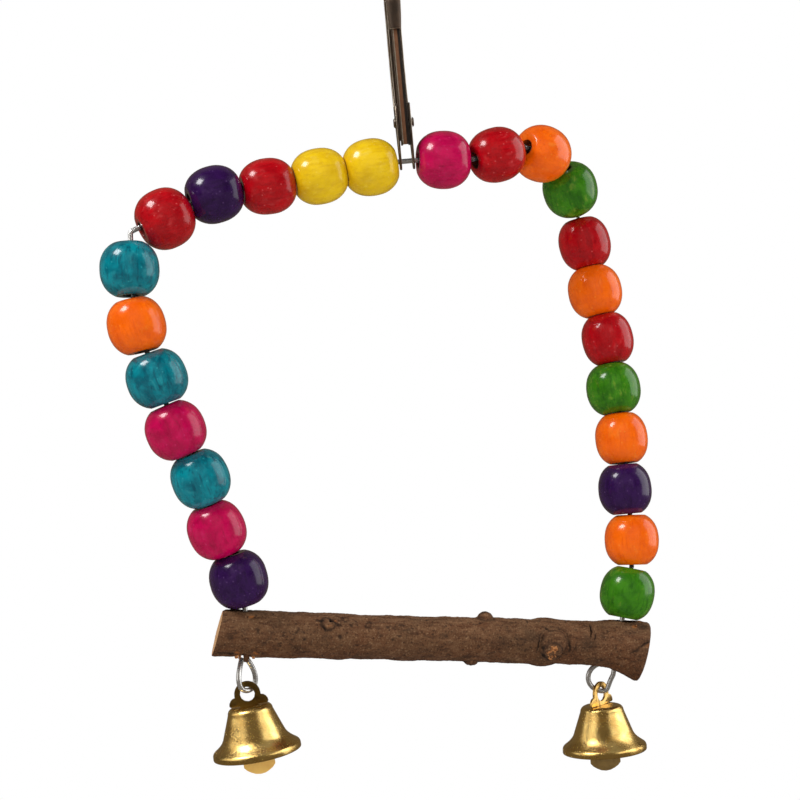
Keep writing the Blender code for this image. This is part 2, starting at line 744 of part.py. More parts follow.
def make_bell(label, side, swing):
    """Makes one bell: shell, hanger, link and clapper, and the pivots that they swing on."""
    eye = side.eye
    hole, crown, tongue_hole, link_top, link_bottom, clapper_hole = bell_levels(eye.bell_slip)
    lean = Matrix.Rotation(math.radians(-eye.bell_lean), 4, "Y")
    hung = Matrix.Translation(side.eye_bottom) @ lean @ turn_about_z(eye.bell_turn)
    bell = hung @ Matrix.Translation((-eye.bell_slip, 0, 0))
    stand = Matrix.Rotation(math.radians(90), 4, "X")
    bell_hinge = pivot(f"{label}_bell_hinge", metres(hung), swing)

    body = turned(shell_profile(crown), BELL_SEGMENTS)
    shell = solid(f"{label}_bell_shell", body, bell, metal("brass"), bell_hinge)
    wide = HANGER_TONGUE_WIDTH / 2 + SLOT_CLEARANCE
    deep = HANGER_SHEET / 2 + SLOT_CLEARANCE
    cutter = plate([(-wide, -deep), (wide, -deep), (wide, deep), (-wide, deep)], [], 4 * BELL_WALL)
    slot_place = bell @ Matrix.Translation((0, 0, crown))
    boolean(shell, f"{label}_crown_slot", cutter, slot_place, "DIFFERENCE")

    holes = [circle((0, hole), HANGER_HOLE), circle((0, tongue_hole), LINK_HOLE)]
    hanger = plate(hanger_outline(hole, crown, tongue_hole), holes, HANGER_SHEET)
    hanger.transform(stand)
    solid(f"{label}_bell_hanger", hanger, bell, metal("dark_brass"), bell_hinge)

    link_turn = turn_about_z(eye.clapper_turn / 2)
    link_place = bell @ Matrix.Translation((0, 0, link_top)) @ link_turn
    link_hinge = pivot(f"{label}_link_hinge", metres(link_place), bell_hinge)
    section = arc((LINK_RADIUS, 0), LINK_WIRE / 2, 0, 360, LINK_SIDES)[:-1]
    ring = turned(section, LINK_SEGMENTS)
    ring.transform(Matrix.Rotation(math.radians(90), 4, "Y"))
    ring.transform(Matrix.Translation((0, 0, -LINK_RADIUS)))
    solid(f"{label}_clapper_link", ring, link_place, metal("galvanised"), link_hinge)

    foot = Matrix.Translation((0, 0, link_bottom))
    clapper_hinge = pivot(f"{label}_clapper_hinge", metres(bell @ foot @ link_turn), link_hinge)
    hole_edge = circle((0, clapper_hole), LINK_HOLE)
    clapper = plate(clapper_outline(clapper_hole), [hole_edge], CLAPPER_SHEET)
    clapper.transform(foot.inverted() @ stand)
    clapper_place = bell @ foot @ turn_about_z(eye.clapper_turn)
    solid(f"{label}_clapper", clapper, clapper_place, metal("dark_brass"), clapper_hinge)


def clip_spine(inset):
    """The hook's edge from the nose over the top and down the back, set in by inset."""
    radius = HOOK_RADIUS + CLIP_CHEEK - inset
    nose = [(-radius + HOOK_NOSE_TUCK, -HOOK_NOSE_DROP)]
    arch = arc((0, -HOOK_RADIUS), radius, 180, 0, ROUND_STEPS)
    belly = CLIP_BELLY - inset
    return nose + arch + [(belly - drawn, -share * CLIP_DROP) for share, drawn in CLIP_BACK]


def clip_side():
    """Side outline of the clip body's two cheeks."""
    inner = clip_spine(CLIP_CHEEK)
    tip = arc((0, -CLIP_DROP), EAR_TIP_RADIUS, EAR_TIP_START, EAR_TIP_END, ARC_STEPS)
    ear = [
        (-EAR_FRONT, -RIVET_DROP - EAR_FRONT_FOOT),
        (-EAR_FRONT, -EAR_TOP_DROP - EAR_CORNER),
        (-EAR_FRONT + EAR_CORNER, -EAR_TOP_DROP),
        (inner[-2][0] - EAR_ROOT, -EAR_TOP_DROP),
    ]
    return clip_spine(0) + tip + ear + inner[-3::-1]


def clip_hollow():
    """Side outline of the space between the cheeks, open to the front and below."""
    inside = clip_spine(CLIP_SHEET)
    front, nose = inside[0]
    return [
        (front, nose - CLIP_MOUTH),
        *inside,
        (inside[-1][0] - CLIP_MOUTH_FOOT, -CLIP_DROP),
        (0, -CLIP_DROP - 2 * EAR_TIP_RADIUS),
        (-2 * EAR_FRONT, -CLIP_DROP),
        (-2 * EAR_FRONT, nose - CLIP_MOUTH),
    ]


def upright(outline, holes, width):
    """A shape drawn in the clip's side view and given its width across the clip."""
    shape = plate(outline, holes, width)
    shape.transform(Matrix(((0, 0, 1, 0), (1, 0, 0, 0), (0, 1, 0, 0), (0, 0, 0, 1))))
    return shape


def rivet_spot():
    """The rivet's centre in the clip's side view."""
    return (-RIVET_FRONT, -RIVET_DROP)


def gate_front(z):
    """The gate's front face, which runs from inside the nose to the front of the ears."""
    top = -HOOK_RADIUS - CLIP_CHEEK + CLIP_SHEET + HOOK_NOSE_TUCK + CLEARANCE
    share = (z + HOOK_NOSE_DROP) / (HOOK_NOSE_DROP - GATE_FOOT_DROP)
    return top + GATE_SLOPE * share


def gate_side(inset):
    """Side outline of the gate's cheeks, or of the hollow between them with an inset."""
    tip = -HOOK_NOSE_DROP + GATE_TIP_COVER
    foot = -GATE_FOOT_DROP
    upper = gate_front(tip) + inset
    lower = gate_front(foot) + inset
    if inset:
        past = CLIP_BELLY
        return [
            (upper, tip + inset),
            (lower, foot - inset),
            (past, foot - inset),
            (past, tip + inset),
        ]
    radius = RIVET_DIAMETER / 2 + GATE_LOBE
    lobe = arc(rivet_spot(), radius, GATE_LOBE_START, GATE_LOBE_END, ARC_STEPS)
    front = [(upper, tip), (lower, foot), (lower + GATE_FOOT_DEPTH, foot)]
    return front + lobe + [(upper + GATE_TIP_DEPTH, tip)]


def make_clip():
    """Makes the snap clip: pressed body, sprung gate, rivet and leaf spring."""
    clip = pivot("clip_frame", metres(CLIP_PLACE))
    spot = rivet_spot()
    rivet_hole = RIVET_DIAMETER + 2 * RIVET_CLEARANCE
    wire_hole = circle((0, -CLIP_DROP), WIRE_DIAMETER + 2 * WIRE_HOLE_CLEARANCE)
    cheeks = upright(clip_side(), [wire_hole, circle(spot, rivet_hole)], CLIP_WIDTH)
    body = solid("clip_body", cheeks, CLIP_PLACE, metal("bronze"), clip)
    hollow = upright(clip_hollow(), [], CLIP_WIDTH - 2 * CLIP_SHEET)
    boolean(body, "clip_hollow", hollow, CLIP_PLACE, "DIFFERENCE")

    hinge = CLIP_PLACE @ Matrix.Translation((0, spot[0], spot[1]))
    gate_pivot = pivot("gate_hinge", metres(hinge), clip)
    to_hinge = Matrix.Translation((0, -spot[0], -spot[1]))
    sides = upright(gate_side(0), [circle(spot, rivet_hole)], GATE_WIDTH)
    taper_gate(sides, GATE_WIDTH, GATE_TIP_WIDTH)
    sides.transform(to_hinge)
    gate = solid("clip_gate", sides, hinge, metal("bronze"), gate_pivot)
    inside = upright(gate_side(GATE_SHEET), [], GATE_WIDTH - 2 * GATE_SHEET)
    taper_gate(inside, GATE_WIDTH - 2 * GATE_SHEET, GATE_TIP_WIDTH - 2 * GATE_SHEET)
    inside.transform(to_hinge)
    boolean(gate, "gate_hollow", inside, hinge, "DIFFERENCE")

    head = CLIP_WIDTH / 2 + CLEARANCE
    end = head + RIVET_HEAD_HEIGHT
    shank = RIVET_DIAMETER / 2
    rim = RIVET_HEAD_DIAMETER / 2
    domed = rim * RIVET_DOME_SHARE
    half = [(shank, head), (rim, head), (domed, end), (0, end)]
    profile = [(0, -end), (domed, -end), (rim, -head), (shank, -head), *half]
    rivet = turned(profile, ROUND_STEPS)
    rivet.transform(Matrix.Rotation(math.radians(90), 4, "Y"))
    solid("gate_rivet", rivet, hinge, metal("bronze"), clip)

    spring = upright(leaf_outline(), [], SPRING_WIDTH)
    solid("gate_spring", spring, CLIP_PLACE, metal("galvanised"), clip)


def taper_gate(shape, foot_width, tip_width):
    """Narrows the gate's width from the rivet up to its tip."""
    for vert in shape.verts:
        share = min(1.0, max(0.0, (vert.co.z + RIVET_DROP) / (RIVET_DROP - HOOK_NOSE_DROP)))
        vert.co.x *= 1 + (tip_width / foot_width - 1) * share


def leaf_outline():
    """Side outline of the leaf spring between the clip's back and the gate."""
    back = clip_spine(CLIP_SHEET)[-1]
    start = Vector((back[0] - CLEARANCE - SPRING_THICKNESS, back[1] + SPRING_ROOT_RISE))
    end_z = -EAR_TOP_DROP - SPRING_END_DROP
    end = Vector((gate_front(end_z) + GATE_SHEET + CLEARANCE, end_z))
    corner = Vector((SPRING_BOW[0], end_z + SPRING_BOW[1]))
    upper = []
    lower = []
    for i in range(ARC_STEPS + 1):
        t = i / ARC_STEPS
        spot = start * (1 - t) ** 2 + corner * 2 * t * (1 - t) + end * t**2
        run = ((corner - start) * (1 - t) + (end - corner) * t).normalized()
        out = Vector((-run.y, run.x)) * SPRING_THICKNESS / 2
        upper.append(tuple(spot + out))
        lower.append(tuple(spot - out))
    return upper + lower[::-1]


def build():
    """Builds the whole swing."""
    clear_scene()
    left = thread_side(-1, LEFT_BEADS, LEFT_EYE)
    right = thread_side(1, RIGHT_BEADS, RIGHT_EYE)
    perch = Perch(left, right)
    for side in (left, right):
        eye_route(side, perch)
    swing = pivot("swing_hinge", metres(Matrix.Translation(WIRE_SEAT)))
    make_clip()
    make_wire(left, right, swing)
    make_perch(perch, (("left", left), ("right", right)), swing)
    make_beads("left", left, swing)
    make_beads("right", right, swing)
    make_bell("left", left, swing)
    make_bell("right", right, swing)


build()
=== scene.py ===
"""Looks of a hanging bird swing: beaded wire arch, branch perch, two bells and a snap clip.

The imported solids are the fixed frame. Each piece here is measured on the solid that it
stands for and rides on the same body, so it moves where the solid moves. The frame is in
metres with +Z up, +X along the perch and the clip's hook seat at the origin. Shapes are
drawn in millimetres in a frame of their own and then put in place.
"""

import json
import logging
import math
from dataclasses import dataclass, field
from enum import Enum

import bmesh
import bpy
import numpy as np
from mathutils import Matrix, Vector, noise
from mathutils.bvhtree import BVHTree
from mathutils.geometry import intersect_line_line

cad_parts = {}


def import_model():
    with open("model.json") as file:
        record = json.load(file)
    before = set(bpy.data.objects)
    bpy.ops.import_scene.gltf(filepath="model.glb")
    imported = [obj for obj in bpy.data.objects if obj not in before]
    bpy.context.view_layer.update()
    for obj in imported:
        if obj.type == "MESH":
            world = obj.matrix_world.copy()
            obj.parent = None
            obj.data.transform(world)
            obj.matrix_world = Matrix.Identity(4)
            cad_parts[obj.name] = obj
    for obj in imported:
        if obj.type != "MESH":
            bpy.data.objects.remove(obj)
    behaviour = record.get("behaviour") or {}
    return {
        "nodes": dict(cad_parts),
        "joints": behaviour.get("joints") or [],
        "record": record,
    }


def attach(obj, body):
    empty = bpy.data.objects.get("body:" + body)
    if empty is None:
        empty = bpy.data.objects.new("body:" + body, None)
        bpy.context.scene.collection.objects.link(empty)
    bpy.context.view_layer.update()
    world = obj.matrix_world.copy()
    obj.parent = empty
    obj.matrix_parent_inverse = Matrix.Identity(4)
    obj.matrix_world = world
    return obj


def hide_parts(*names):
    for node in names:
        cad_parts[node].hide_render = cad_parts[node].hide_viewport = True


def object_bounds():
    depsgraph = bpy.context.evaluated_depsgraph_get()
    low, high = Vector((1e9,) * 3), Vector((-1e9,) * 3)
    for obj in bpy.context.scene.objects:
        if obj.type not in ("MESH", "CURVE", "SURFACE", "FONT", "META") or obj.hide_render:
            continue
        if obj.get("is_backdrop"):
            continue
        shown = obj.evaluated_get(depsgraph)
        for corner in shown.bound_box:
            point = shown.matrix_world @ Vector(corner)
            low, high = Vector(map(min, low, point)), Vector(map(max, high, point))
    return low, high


LOG = logging.getLogger("bird_swing")

# Seed of the noise that warps the bark's marks and roughens its shards
NOISE_SEED = 1

# A millimetre in metres, and how close two points of a mesh are made one
MM = 0.001
MERGE_MM = 1e-4
MERGE_M = 1e-6

# The curve from display values to linear light
CURVE_KNEE = 0.04045
CURVE_SLOPE = 12.92
CURVE_SHIFT = 0.055
CURVE_POWER = 2.4

# Eased sheet edges: what counts as flat and as sharp, in degrees, and faces across
FLAT_ANGLE = 0.5
SHARP_ANGLE = 50.0
EASED_STEPS = 2

Colour = tuple[float, float, float]
Point = tuple[float, float]
Socket = bpy.types.NodeSocket
Finish = bpy.types.Material
Shape = bmesh.types.BMesh


def display(red: int, green: int, blue: int) -> Colour:
    """Turns a display colour into the linear one that shaders take.

    Args:
        red: Red from 0 to 255.
        green: Green from 0 to 255.
        blue: Blue from 0 to 255.

    Returns:
        The linear colour.
    """
    parts = []
    for value in (red / 255, green / 255, blue / 255):
        if value <= CURVE_KNEE:
            parts.append(value / CURVE_SLOPE)
        else:
            parts.append(((value + CURVE_SHIFT) / (1 + CURVE_SHIFT)) ** CURVE_POWER)
    return parts[0], parts[1], parts[2]


def aimed(axis: Vector) -> Matrix:
    """Gives the turn that points Z along an axis."""
    return axis.to_track_quat("Z", "Y").to_matrix().to_4x4()


def standing(point: Vector, axis: Vector) -> Matrix:
    """Gives a millimetre frame at a point.

    Args:
        point: The frame's origin in metres.
        axis: The direction of the frame's Z.

    Returns:
        The matrix from the frame's millimetres to metres.
    """
    return Matrix.Translation(point) @ aimed(axis) @ Matrix.Scale(MM, 4)


def put(shape: Shape, place: Matrix) -> None:
    """Moves a whole shape by a matrix."""
    bmesh.ops.transform(shape, matrix=place, verts=shape.verts)


def turned(profile: list[Point], segments: int, closed: bool) -> Shape:
    """Spins a profile into a closed body about Z.

    Args:
        profile: Radius and height of each point.
        segments: Steps of the full turn.
        closed: Whether the last point joins the first, as on a bead with a bore.

    Returns:
        The body with its normals outwards.
    """
    shape = bmesh.new()
    points = [shape.verts.new((radius, 0, height)) for radius, height in profile]
    ends = [*points[1:], points[0]] if closed else points[1:]
    edges = [shape.edges.new(pair) for pair in zip(points, ends)]
    bmesh.ops.spin(
        shape,
        geom=points + edges,
        cent=(0, 0, 0),
        axis=(0, 0, 1),
        angle=math.tau,
        steps=segments,
        use_merge=True,
    )
    bmesh.ops.remove_doubles(shape, verts=shape.verts, dist=MERGE_MM)
    bmesh.ops.recalc_face_normals(shape, faces=shape.faces)
    return shape


def round_edges(
    shape: Shape, angle: float, width: float, segments: int
) -> list[bmesh.types.BMFace]:
    """Rounds every edge that is sharper than an angle.

    Args:
        shape: The body to work on.
        angle: Least angle between the two faces, in degrees.
        width: How far the rounding reaches into each face.
        segments: Faces across the rounding.

    Returns:
        The new faces of the rounding.
    """
    sharp = [edge for edge in shape.edges if edge.calc_face_angle(0.0) > math.radians(angle)]
    made = bmesh.ops.bevel(
        shape,
        geom=sharp,
        offset=width,
        offset_type="OFFSET",
        affect="EDGES",
        segments=segments,
        profile=0.5,
        material=-1,
        clamp_overlap=True,
    )
    return made["faces"]


def arc(centre: Point, radius: float, start: float, end: float, steps: int) -> list[Point]:
    """Gives the points of an arc.

    Args:
        centre: Middle of the arc.
        radius: Its radius.
        start: First angle in degrees.
        end: Last angle in degrees.
        steps: Number of chords.

    Returns:
        The points from start to end.
    """
    points = []
    for i in range(steps + 1):
        angle = math.radians(start + (end - start) * i / steps)
        points.append(
            (centre[0] + radius * math.cos(angle), centre[1] + radius * math.sin(angle))
        )
    return points


class SwingFrame:
    """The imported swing: its solids, the bodies they ride on, and its joints."""

    def __init__(self) -> None:
        """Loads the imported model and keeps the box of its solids."""
        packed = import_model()
        record = packed["record"]
        self.cad_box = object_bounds()
        self.nodes = packed["nodes"]
        self.joints = {row["child"]: row for row in packed["joints"]}
        self.slots = {row["node"]: row["material_slot"] for row in record["subparts"]}
        self.bodies = {}
        for body, held in record["behaviour"]["bodies"].items():
            for node in held:
                self.bodies[node] = body

    def solid(self, node: str) -> Shape:
        """Gives a merged copy of a solid.

        Args:
            node: The solid's name.

        Returns:
            The copy, in metres.
        """
        shape = bmesh.new()
        shape.from_mesh(self.nodes[node].data)
        bmesh.ops.remove_doubles(shape, verts=shape.verts, dist=MERGE_M)
        return shape

    def points(self, node: str, place: Matrix) -> np.ndarray:
        """Gives a solid's points in the millimetres of a frame."""
        inside = place.inverted()
        return np.array([inside @ vertex.co for vertex in self.nodes[node].data.vertices])

    def cut(self, node: str, point: Vector, normal: Vector) -> list[Vector]:
        """Slices a solid across.

        Args:
            node: The solid's name.
            point: A point of the cut's plane, in metres.
            normal: The plane's normal.

        Returns:
            The points of the cut, in metres.
        """
        shape = self.solid(node)
        parts = [*shape.verts, *shape.edges, *shape.faces]
        made = bmesh.ops.bisect_plane(shape, geom=parts, plane_co=point, plane_no=normal)
        kept = [part for part in made["geom_cut"] if isinstance(part, bmesh.types.BMVert)]
        spots = [vertex.co.copy() for vertex in kept]
        shape.free()
        return spots

    def hinge(self, body: str) -> tuple[Vector, Vector]:
        """Gives the point and the axis that a body turns on."""
        row = self.joints[body]
        return Vector(row["pos_m"]), Vector(row["axis"]).normalized()


def eased(shape: Shape, width: float) -> Shape:
    """Eases the edges of a pressed or stamped shape, which are worn bright and partly lit as a
    painted highlight.

    Args:
        shape: The shape in metres.
        width: Width of the easing in millimetres.

    Returns:
        The same shape, with the eased edges as its second finish.
    """
    bmesh.ops.scale(shape, vec=(1 / MM, 1 / MM, 1 / MM), verts=shape.verts)
    bmesh.ops.dissolve_limit(
        shape, angle_limit=math.radians(FLAT_ANGLE), verts=shape.verts, edges=shape.edges
    )
    for face in round_edges(shape, SHARP_ANGLE, width, EASED_STEPS):
        face.material_index = 1
    bmesh.ops.scale(shape, vec=(MM, MM, MM), verts=shape.verts)
    return shape


@dataclass
class PieceBench:
    """Turns finished shapes into pieces of the swing."""

    frame: SwingFrame
    pieces: list[bpy.types.Object] = field(default_factory=list)

    def add(
        self, name: str, shape: Shape, finishes: list[Finish], node: str, crease: float
    ) -> None:
        """Makes a piece that stands for a solid and rides with it.

        Args:
            name: Name of the piece.
            shape: Its mesh in metres, which is used up.
            finishes: Its materials in the order of its faces' indices.
            node: The solid that it stands for.
            crease: Edges sharper than this many degrees stay sharp.
        """
        piece = self.loose(name, shape, finishes, crease)
        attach(piece, self.frame.bodies[node])
        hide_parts(node)

    def extra(
        self, name: str, shape: Shape, finishes: list[Finish], node: str, crease: float
    ) -> None:
        """Makes a detail that rides with a solid and stands for none."""
        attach(self.loose(name, shape, finishes, crease), self.frame.bodies[node])

    def loose(
        self, name: str, shape: Shape, finishes: list[Finish], crease: float
    ) -> bpy.types.Object:
        """Makes a smooth shaded mesh object at the origin and reports it.

        Args:
            name: Name of the piece.
            shape: Its mesh in metres, which is used up.
            finishes: Its materials in the order of its faces' indices.
            crease: Edges sharper than this many degrees stay sharp.

        Returns:
            The object.
        """
        mesh = bpy.data.meshes.new(name)
        shape.to_mesh(mesh)
        shape.free()
        for finish in finishes:
            mesh.materials.append(finish)
        mesh.shade_smooth()
        mesh.set_sharp_from_angle(angle=math.radians(crease))
        piece = bpy.data.objects.new(name, mesh)
        bpy.context.scene.collection.objects.link(piece)
        self.pieces.append(piece)
        LOG.info("%s: %d faces", name, len(mesh.polygons))
        return piece


@dataclass(frozen=True)
class Grain:
    """A cloudy pattern: clouds per unit, octaves, stir, stretch of the place and seed."""

    scale: float
    detail: float = 4.0
    warp: float = 0.0
    stretch: Colour | None = None
    seed: float = 0.0


@dataclass(frozen=True)
class Veil:
    """Where a pattern shows: the values that it fades in between, and how strongly."""

    low: float
    high: float
    share: float = 1.0


class FinishNodes:
    """The node tree of one finish, with a short call for each kind of node."""

    cloud_roughness: float = 0.6
    cloud_span: Point = (0.3, 0.7)
    mix_under: int = 6
    mix_over: int = 7
    mix_result: int = 2

    def __init__(self, name: str) -> None:
        """Starts the tree with one principled shader.

        Args:
            name: Name of the material.
        """
        self.material = bpy.data.materials.new(name)
        self.material.use_nodes = True
        self.nodes = self.material.node_tree.nodes
        self.links = self.material.node_tree.links
        self.shader = self.nodes["Principled BSDF"]

    def feed(self, socket: Socket, value: object) -> None:
        """Links a socket to another one, or sets its value.

        Args:
            socket: The input to feed.
            value: A socket, a number, a vector or a colour without alpha.
        """
        if isinstance(value, bpy.types.NodeSocket):
            self.links.new(value, socket)
        elif socket.type == "RGBA":
            socket.default_value = (*value, 1.0)
        else:
            socket.default_value = value

    def add(self, kind: str, feeds: dict, **settings: object) -> bpy.types.Node:
        """Adds a node.

        Args:
            kind: The node's type.
            feeds: Values or sockets for its inputs, by name or index.
            settings: Its own properties.

        Returns:
            The node.
        """
        node = self.nodes.new(kind)
        for name, value in settings.items():
            setattr(node, name, value)
        for name, value in feeds.items():
            self.feed(node.inputs[name], value)
        return node

    def dress(self, sockets: dict) -> Finish:
        """Feeds the shader's sockets.

        Args:
            sockets: Values or sockets by the name of the shader's input.

        Returns:
            The finished material.
        """
        for name, value in sockets.items():
            self.feed(self.shader.inputs[name], value)
        return self.material

    def spot(self) -> Socket:
        """Gives the place on the piece in millimetres."""
        place = self.add("ShaderNodeTexCoord", {})
        return self.scaled(place.outputs["Object"], (1 / MM, 1 / MM, 1 / MM))

    def attribute(self, name: str, output: str = "Fac") -> Socket:
        """Reads a value that the mesh carries."""
        return self.add("ShaderNodeAttribute", {}, attribute_name=name).outputs[output]

    def scaled(self, vector: Socket, scale: Colour) -> Socket:
        """Scales a place along its three axes."""
        return self.add("ShaderNodeMapping", {"Vector": vector, "Scale": scale}).outputs[0]

    def cloud(self, vector: Socket, grain: Grain, seed: Socket | None = None) -> Socket:
        """Gives cloudy noise.

        Args:
            vector: Place on the piece.
            grain: The pattern.
            seed: Takes the place of the grain's own seed, so that pieces differ.

        Returns:
            The noise, around 0.5.
        """
        if grain.stretch:
            vector = self.scaled(vector, grain.stretch)
        feeds = {
            "Vector": vector,
            "W": grain.seed if seed is None else seed,
            "Scale": grain.scale,
            "Detail": grain.detail,
            "Roughness": self.cloud_roughness,
            "Distortion": grain.warp,
        }
        return self.add("ShaderNodeTexNoise", feeds, noise_dimensions="4D").outputs[0]

    def cells(self, vector: Socket, scale: float) -> Socket:
        """Gives the distance to the middle of the nearest of scattered cells."""
        return self.add("ShaderNodeTexVoronoi", {"Vector": vector, "Scale": scale}).outputs[0]

    def level(
        self, value: Socket, low: float, high: float, start: float = 0.0, end: float = 1.0
    ) -> Socket:
        """Maps a range of a value onto another range and clips it there.

        Args:
            value: The value to map.
            low: What maps to start.
            high: What maps to end.
            start: Result at low and beyond it.
            end: Result at high and beyond it.

        Returns:
            The mapped value.
        """
        feeds = {
            "Value": value,
            "From Min": low,
            "From Max": high,
            "To Min": start,
            "To Max": end,
        }
        return self.add("ShaderNodeMapRange", feeds).outputs[0]

    def calc(self, kind: str, first: float | Socket, second: float | Socket) -> Socket:
        """Gives the result of one sum."""
        return self.add("ShaderNodeMath", {0: first, 1: second}, operation=kind).outputs[0]

    def blend(self, share: Socket, under: Colour | Socket, over: Colour | Socket) -> Socket:
        """Lays one colour over another.

        Args:
            share: How much of the upper colour shows.
            under: The lower colour.
            over: The upper colour.

        Returns:
            The blend.
        """
        feeds = {0: share, self.mix_under: under, self.mix_over: over}
        mixed = self.add("ShaderNodeMix", feeds, data_type="RGBA")
        return mixed.outputs[self.mix_result]

    def mask(self, pattern: Socket, veil: Veil, share: float = 1.0) -> Socket:
        """Gives how much of a pattern shows through its veil, which a share can weaken."""
        return self.level(pattern, veil.low, veil.high, 0.0, veil.share * share)

    def lay(
        self,
        under: Colour | Socket,
        over: Colour,
        pattern: Socket,
        veil: Veil,
        share: float = 1.0,
    ) -> Socket:
        """Lays a colour over another where a pattern shows through its veil."""
        return self.blend(self.mask(pattern, veil, share), under, over)

    def spread(self, cloud: Socket, start: float, end: float) -> Socket:
        """Maps the usual span of a cloudy pattern onto a range."""
        return self.level(cloud, *self.cloud_span, start, end)

    def relief(self, height: Socket, depth: float, strength: float) -> Socket:
        """Gives the normal of a fine relief, with its depth in millimetres."""
        feeds = {"Height": height, "Strength": strength, "Distance": depth * MM}
        return self.add("ShaderNodeBump", feeds).outputs[0]


class BeadColour(Enum):
    """The seven lacquers of the beads, named as the solids name them."""

    RED = "red"
    ORANGE = "orange"
    YELLOW = "yellow"
    GREEN = "green"
    TEAL = "teal"
    PURPLE = "purple"
    MAGENTA = "magenta"


@dataclass(frozen=True)
class BeadLacquer:
    """Dyed and lacquered turned wood."""

    colour: Colour
    deep: Colour
    pale: Colour
    grain: float
    mottle: float
    fleck: float
    dots: float
    raw: Colour = display(66, 38, 24)
    fibres: Grain = Grain(0.9, 6.0, 0.5, (1.0, 1.0, 0.14))
    fibre_veil: Veil = Veil(0.50, 0.68)
    clouds: Grain = Grain(0.16, 3.0, 0.8)
    cloud_veil: Veil = Veil(0.40, 0.66)
    dabs: Grain = Grain(0.42, 6.0, 0.5, (1.0, 1.0, 0.6))
    dab_veil: Veil = Veil(0.56, 0.72)
    dot_scale: float = 0.5
    dot_veil: Veil = Veil(0.16, 0.09)
    edge_sway: float = 0.3
    rim: Point = (2.75, 3.5)
    rim_share: float = 0.4
    bare: Point = (2.4, 2.8)
    bare_gloss: float = 0.4
    smears: Grain = Grain(0.5)
    smear_span: Point = (0.35, 0.7)
    gloss: Point = (0.20, 0.40)
    specular: float = 0.15
    coat: float = 0.75
    coat_roughness: float = 0.14
    cloud_height: float = 2.0
    relief_depth: float = 0.12
    relief_strength: float = 0.45

    def make(self, name: str) -> Finish:
        """Makes the material of this lacquer.

        Args:
            name: The lacquer's colour in words.

        Returns:
            The material, which reads each bead's own place and seed.
        """
        nodes = FinishNodes(f"lacquer_{name}")
        local = nodes.attribute("local", "Vector")
        seed = nodes.attribute("seed")
        fibres = nodes.cloud(local, self.fibres, seed)
        clouds = nodes.cloud(local, self.clouds, seed)
        dabs = nodes.cloud(local, self.dabs, seed)
        colour = nodes.lay(self.colour, self.deep, clouds, self.cloud_veil, self.mottle)
        colour = nodes.lay(colour, self.deep, fibres, self.fibre_veil, self.grain)
        colour = nodes.lay(colour, self.pale, dabs, self.dab_veil, self.fleck)
        moved = nodes.add("ShaderNodeVectorMath", {0: local, 1: seed}, operation="ADD").outputs[0]
        dots = nodes.cells(moved, self.dot_scale)
        colour = nodes.lay(colour, self.pale, dots, self.dot_veil, self.dots)
        flat = nodes.scaled(local, (1.0, 1.0, 0.0))
        across = nodes.add("ShaderNodeVectorMath", {0: flat}, operation="LENGTH").outputs["Value"]
        edge = nodes.calc("ADD", across, nodes.spread(dabs, -self.edge_sway, self.edge_sway))
        rim = nodes.level(edge, *self.rim, self.rim_share, 0.0)
        colour = nodes.blend(rim, colour, self.deep)
        bare = nodes.level(edge, *self.bare, 1.0, 0.0)
        colour = nodes.blend(bare, colour, self.raw)
        smears = nodes.level(nodes.cloud(local, self.smears, seed), *self.smear_span, *self.gloss)
        gloss = nodes.calc("ADD", smears, nodes.level(bare, 0.0, 1.0, 0.0, self.bare_gloss))
        height = nodes.calc("ADD", fibres, nodes.calc("MULTIPLY", clouds, self.cloud_height))
        return nodes.dress(
            {
                "Base Color": colour,
                "Roughness": gloss,
                "Specular IOR Level": self.specular,
                "Coat Weight": self.coat,
                "Coat Roughness": self.coat_roughness,
                "Normal": nodes.relief(height, self.relief_depth, self.relief_strength),
            }
        )


LACQUERS = {
    BeadColour.RED: BeadLacquer(
        display(186, 4, 18), display(128, 0, 10), display(214, 84, 84), 0.55, 0.50, 0.36, 0.70
    ),
    BeadColour.ORANGE: BeadLacquer(
        display(255, 108, 0), display(216, 70, 0), display(255, 164, 60), 0.50, 0.45, 0.28, 0.40
    ),
    BeadColour.YELLOW: BeadLacquer(
        display(240, 198, 18), display(200, 148, 4), display(250, 226, 104), 0.45, 0.50, 0.30, 0.30
    ),
    BeadColour.GREEN: BeadLacquer(
        display(62, 130, 18), display(24, 80, 10), display(138, 166, 56), 0.75, 0.65, 0.60, 0.22
    ),
    BeadColour.TEAL: BeadLacquer(
        display(0, 136, 148), display(0, 70, 88), display(64, 180, 184), 0.95, 0.75, 0.34, 0.40
    ),
    BeadColour.PURPLE: BeadLacquer(
        display(50, 18, 74), display(26, 6, 40), display(96, 66, 116), 0.55, 0.50, 0.24, 0.50
    ),
    BeadColour.MAGENTA: BeadLacquer(
        display(198, 0, 78), display(140, 0, 48), display(222, 62, 128), 0.50, 0.55, 0.24, 0.40
    ),
}


@dataclass(frozen=True)
class RawWood:
    """What bark and bare wood share: a dull surface with a relief."""

    roughness: Point = (0.7, 0.9)
    specular: float = 0.25
    relief_depth: float = 0.3
    relief_strength: float = 0.6

    def surface(
        self, nodes: FinishNodes, colour: Socket, dull: Socket, height: Socket
    ) -> Finish:
        """Dresses the shader of a wood.

        Args:
            nodes: The wood's node tree.
            colour: Its colour.
            dull: The pattern that its roughness follows.
            height: The pattern that its relief follows.

        Returns:
            The finished material.
        """
        return nodes.dress(
            {
                "Base Color": colour,
                "Roughness": nodes.spread(dull, *self.roughness),
                "Specular IOR Level": self.specular,
                "Normal": nodes.relief(height, self.relief_depth, self.relief_strength),
            }
        )


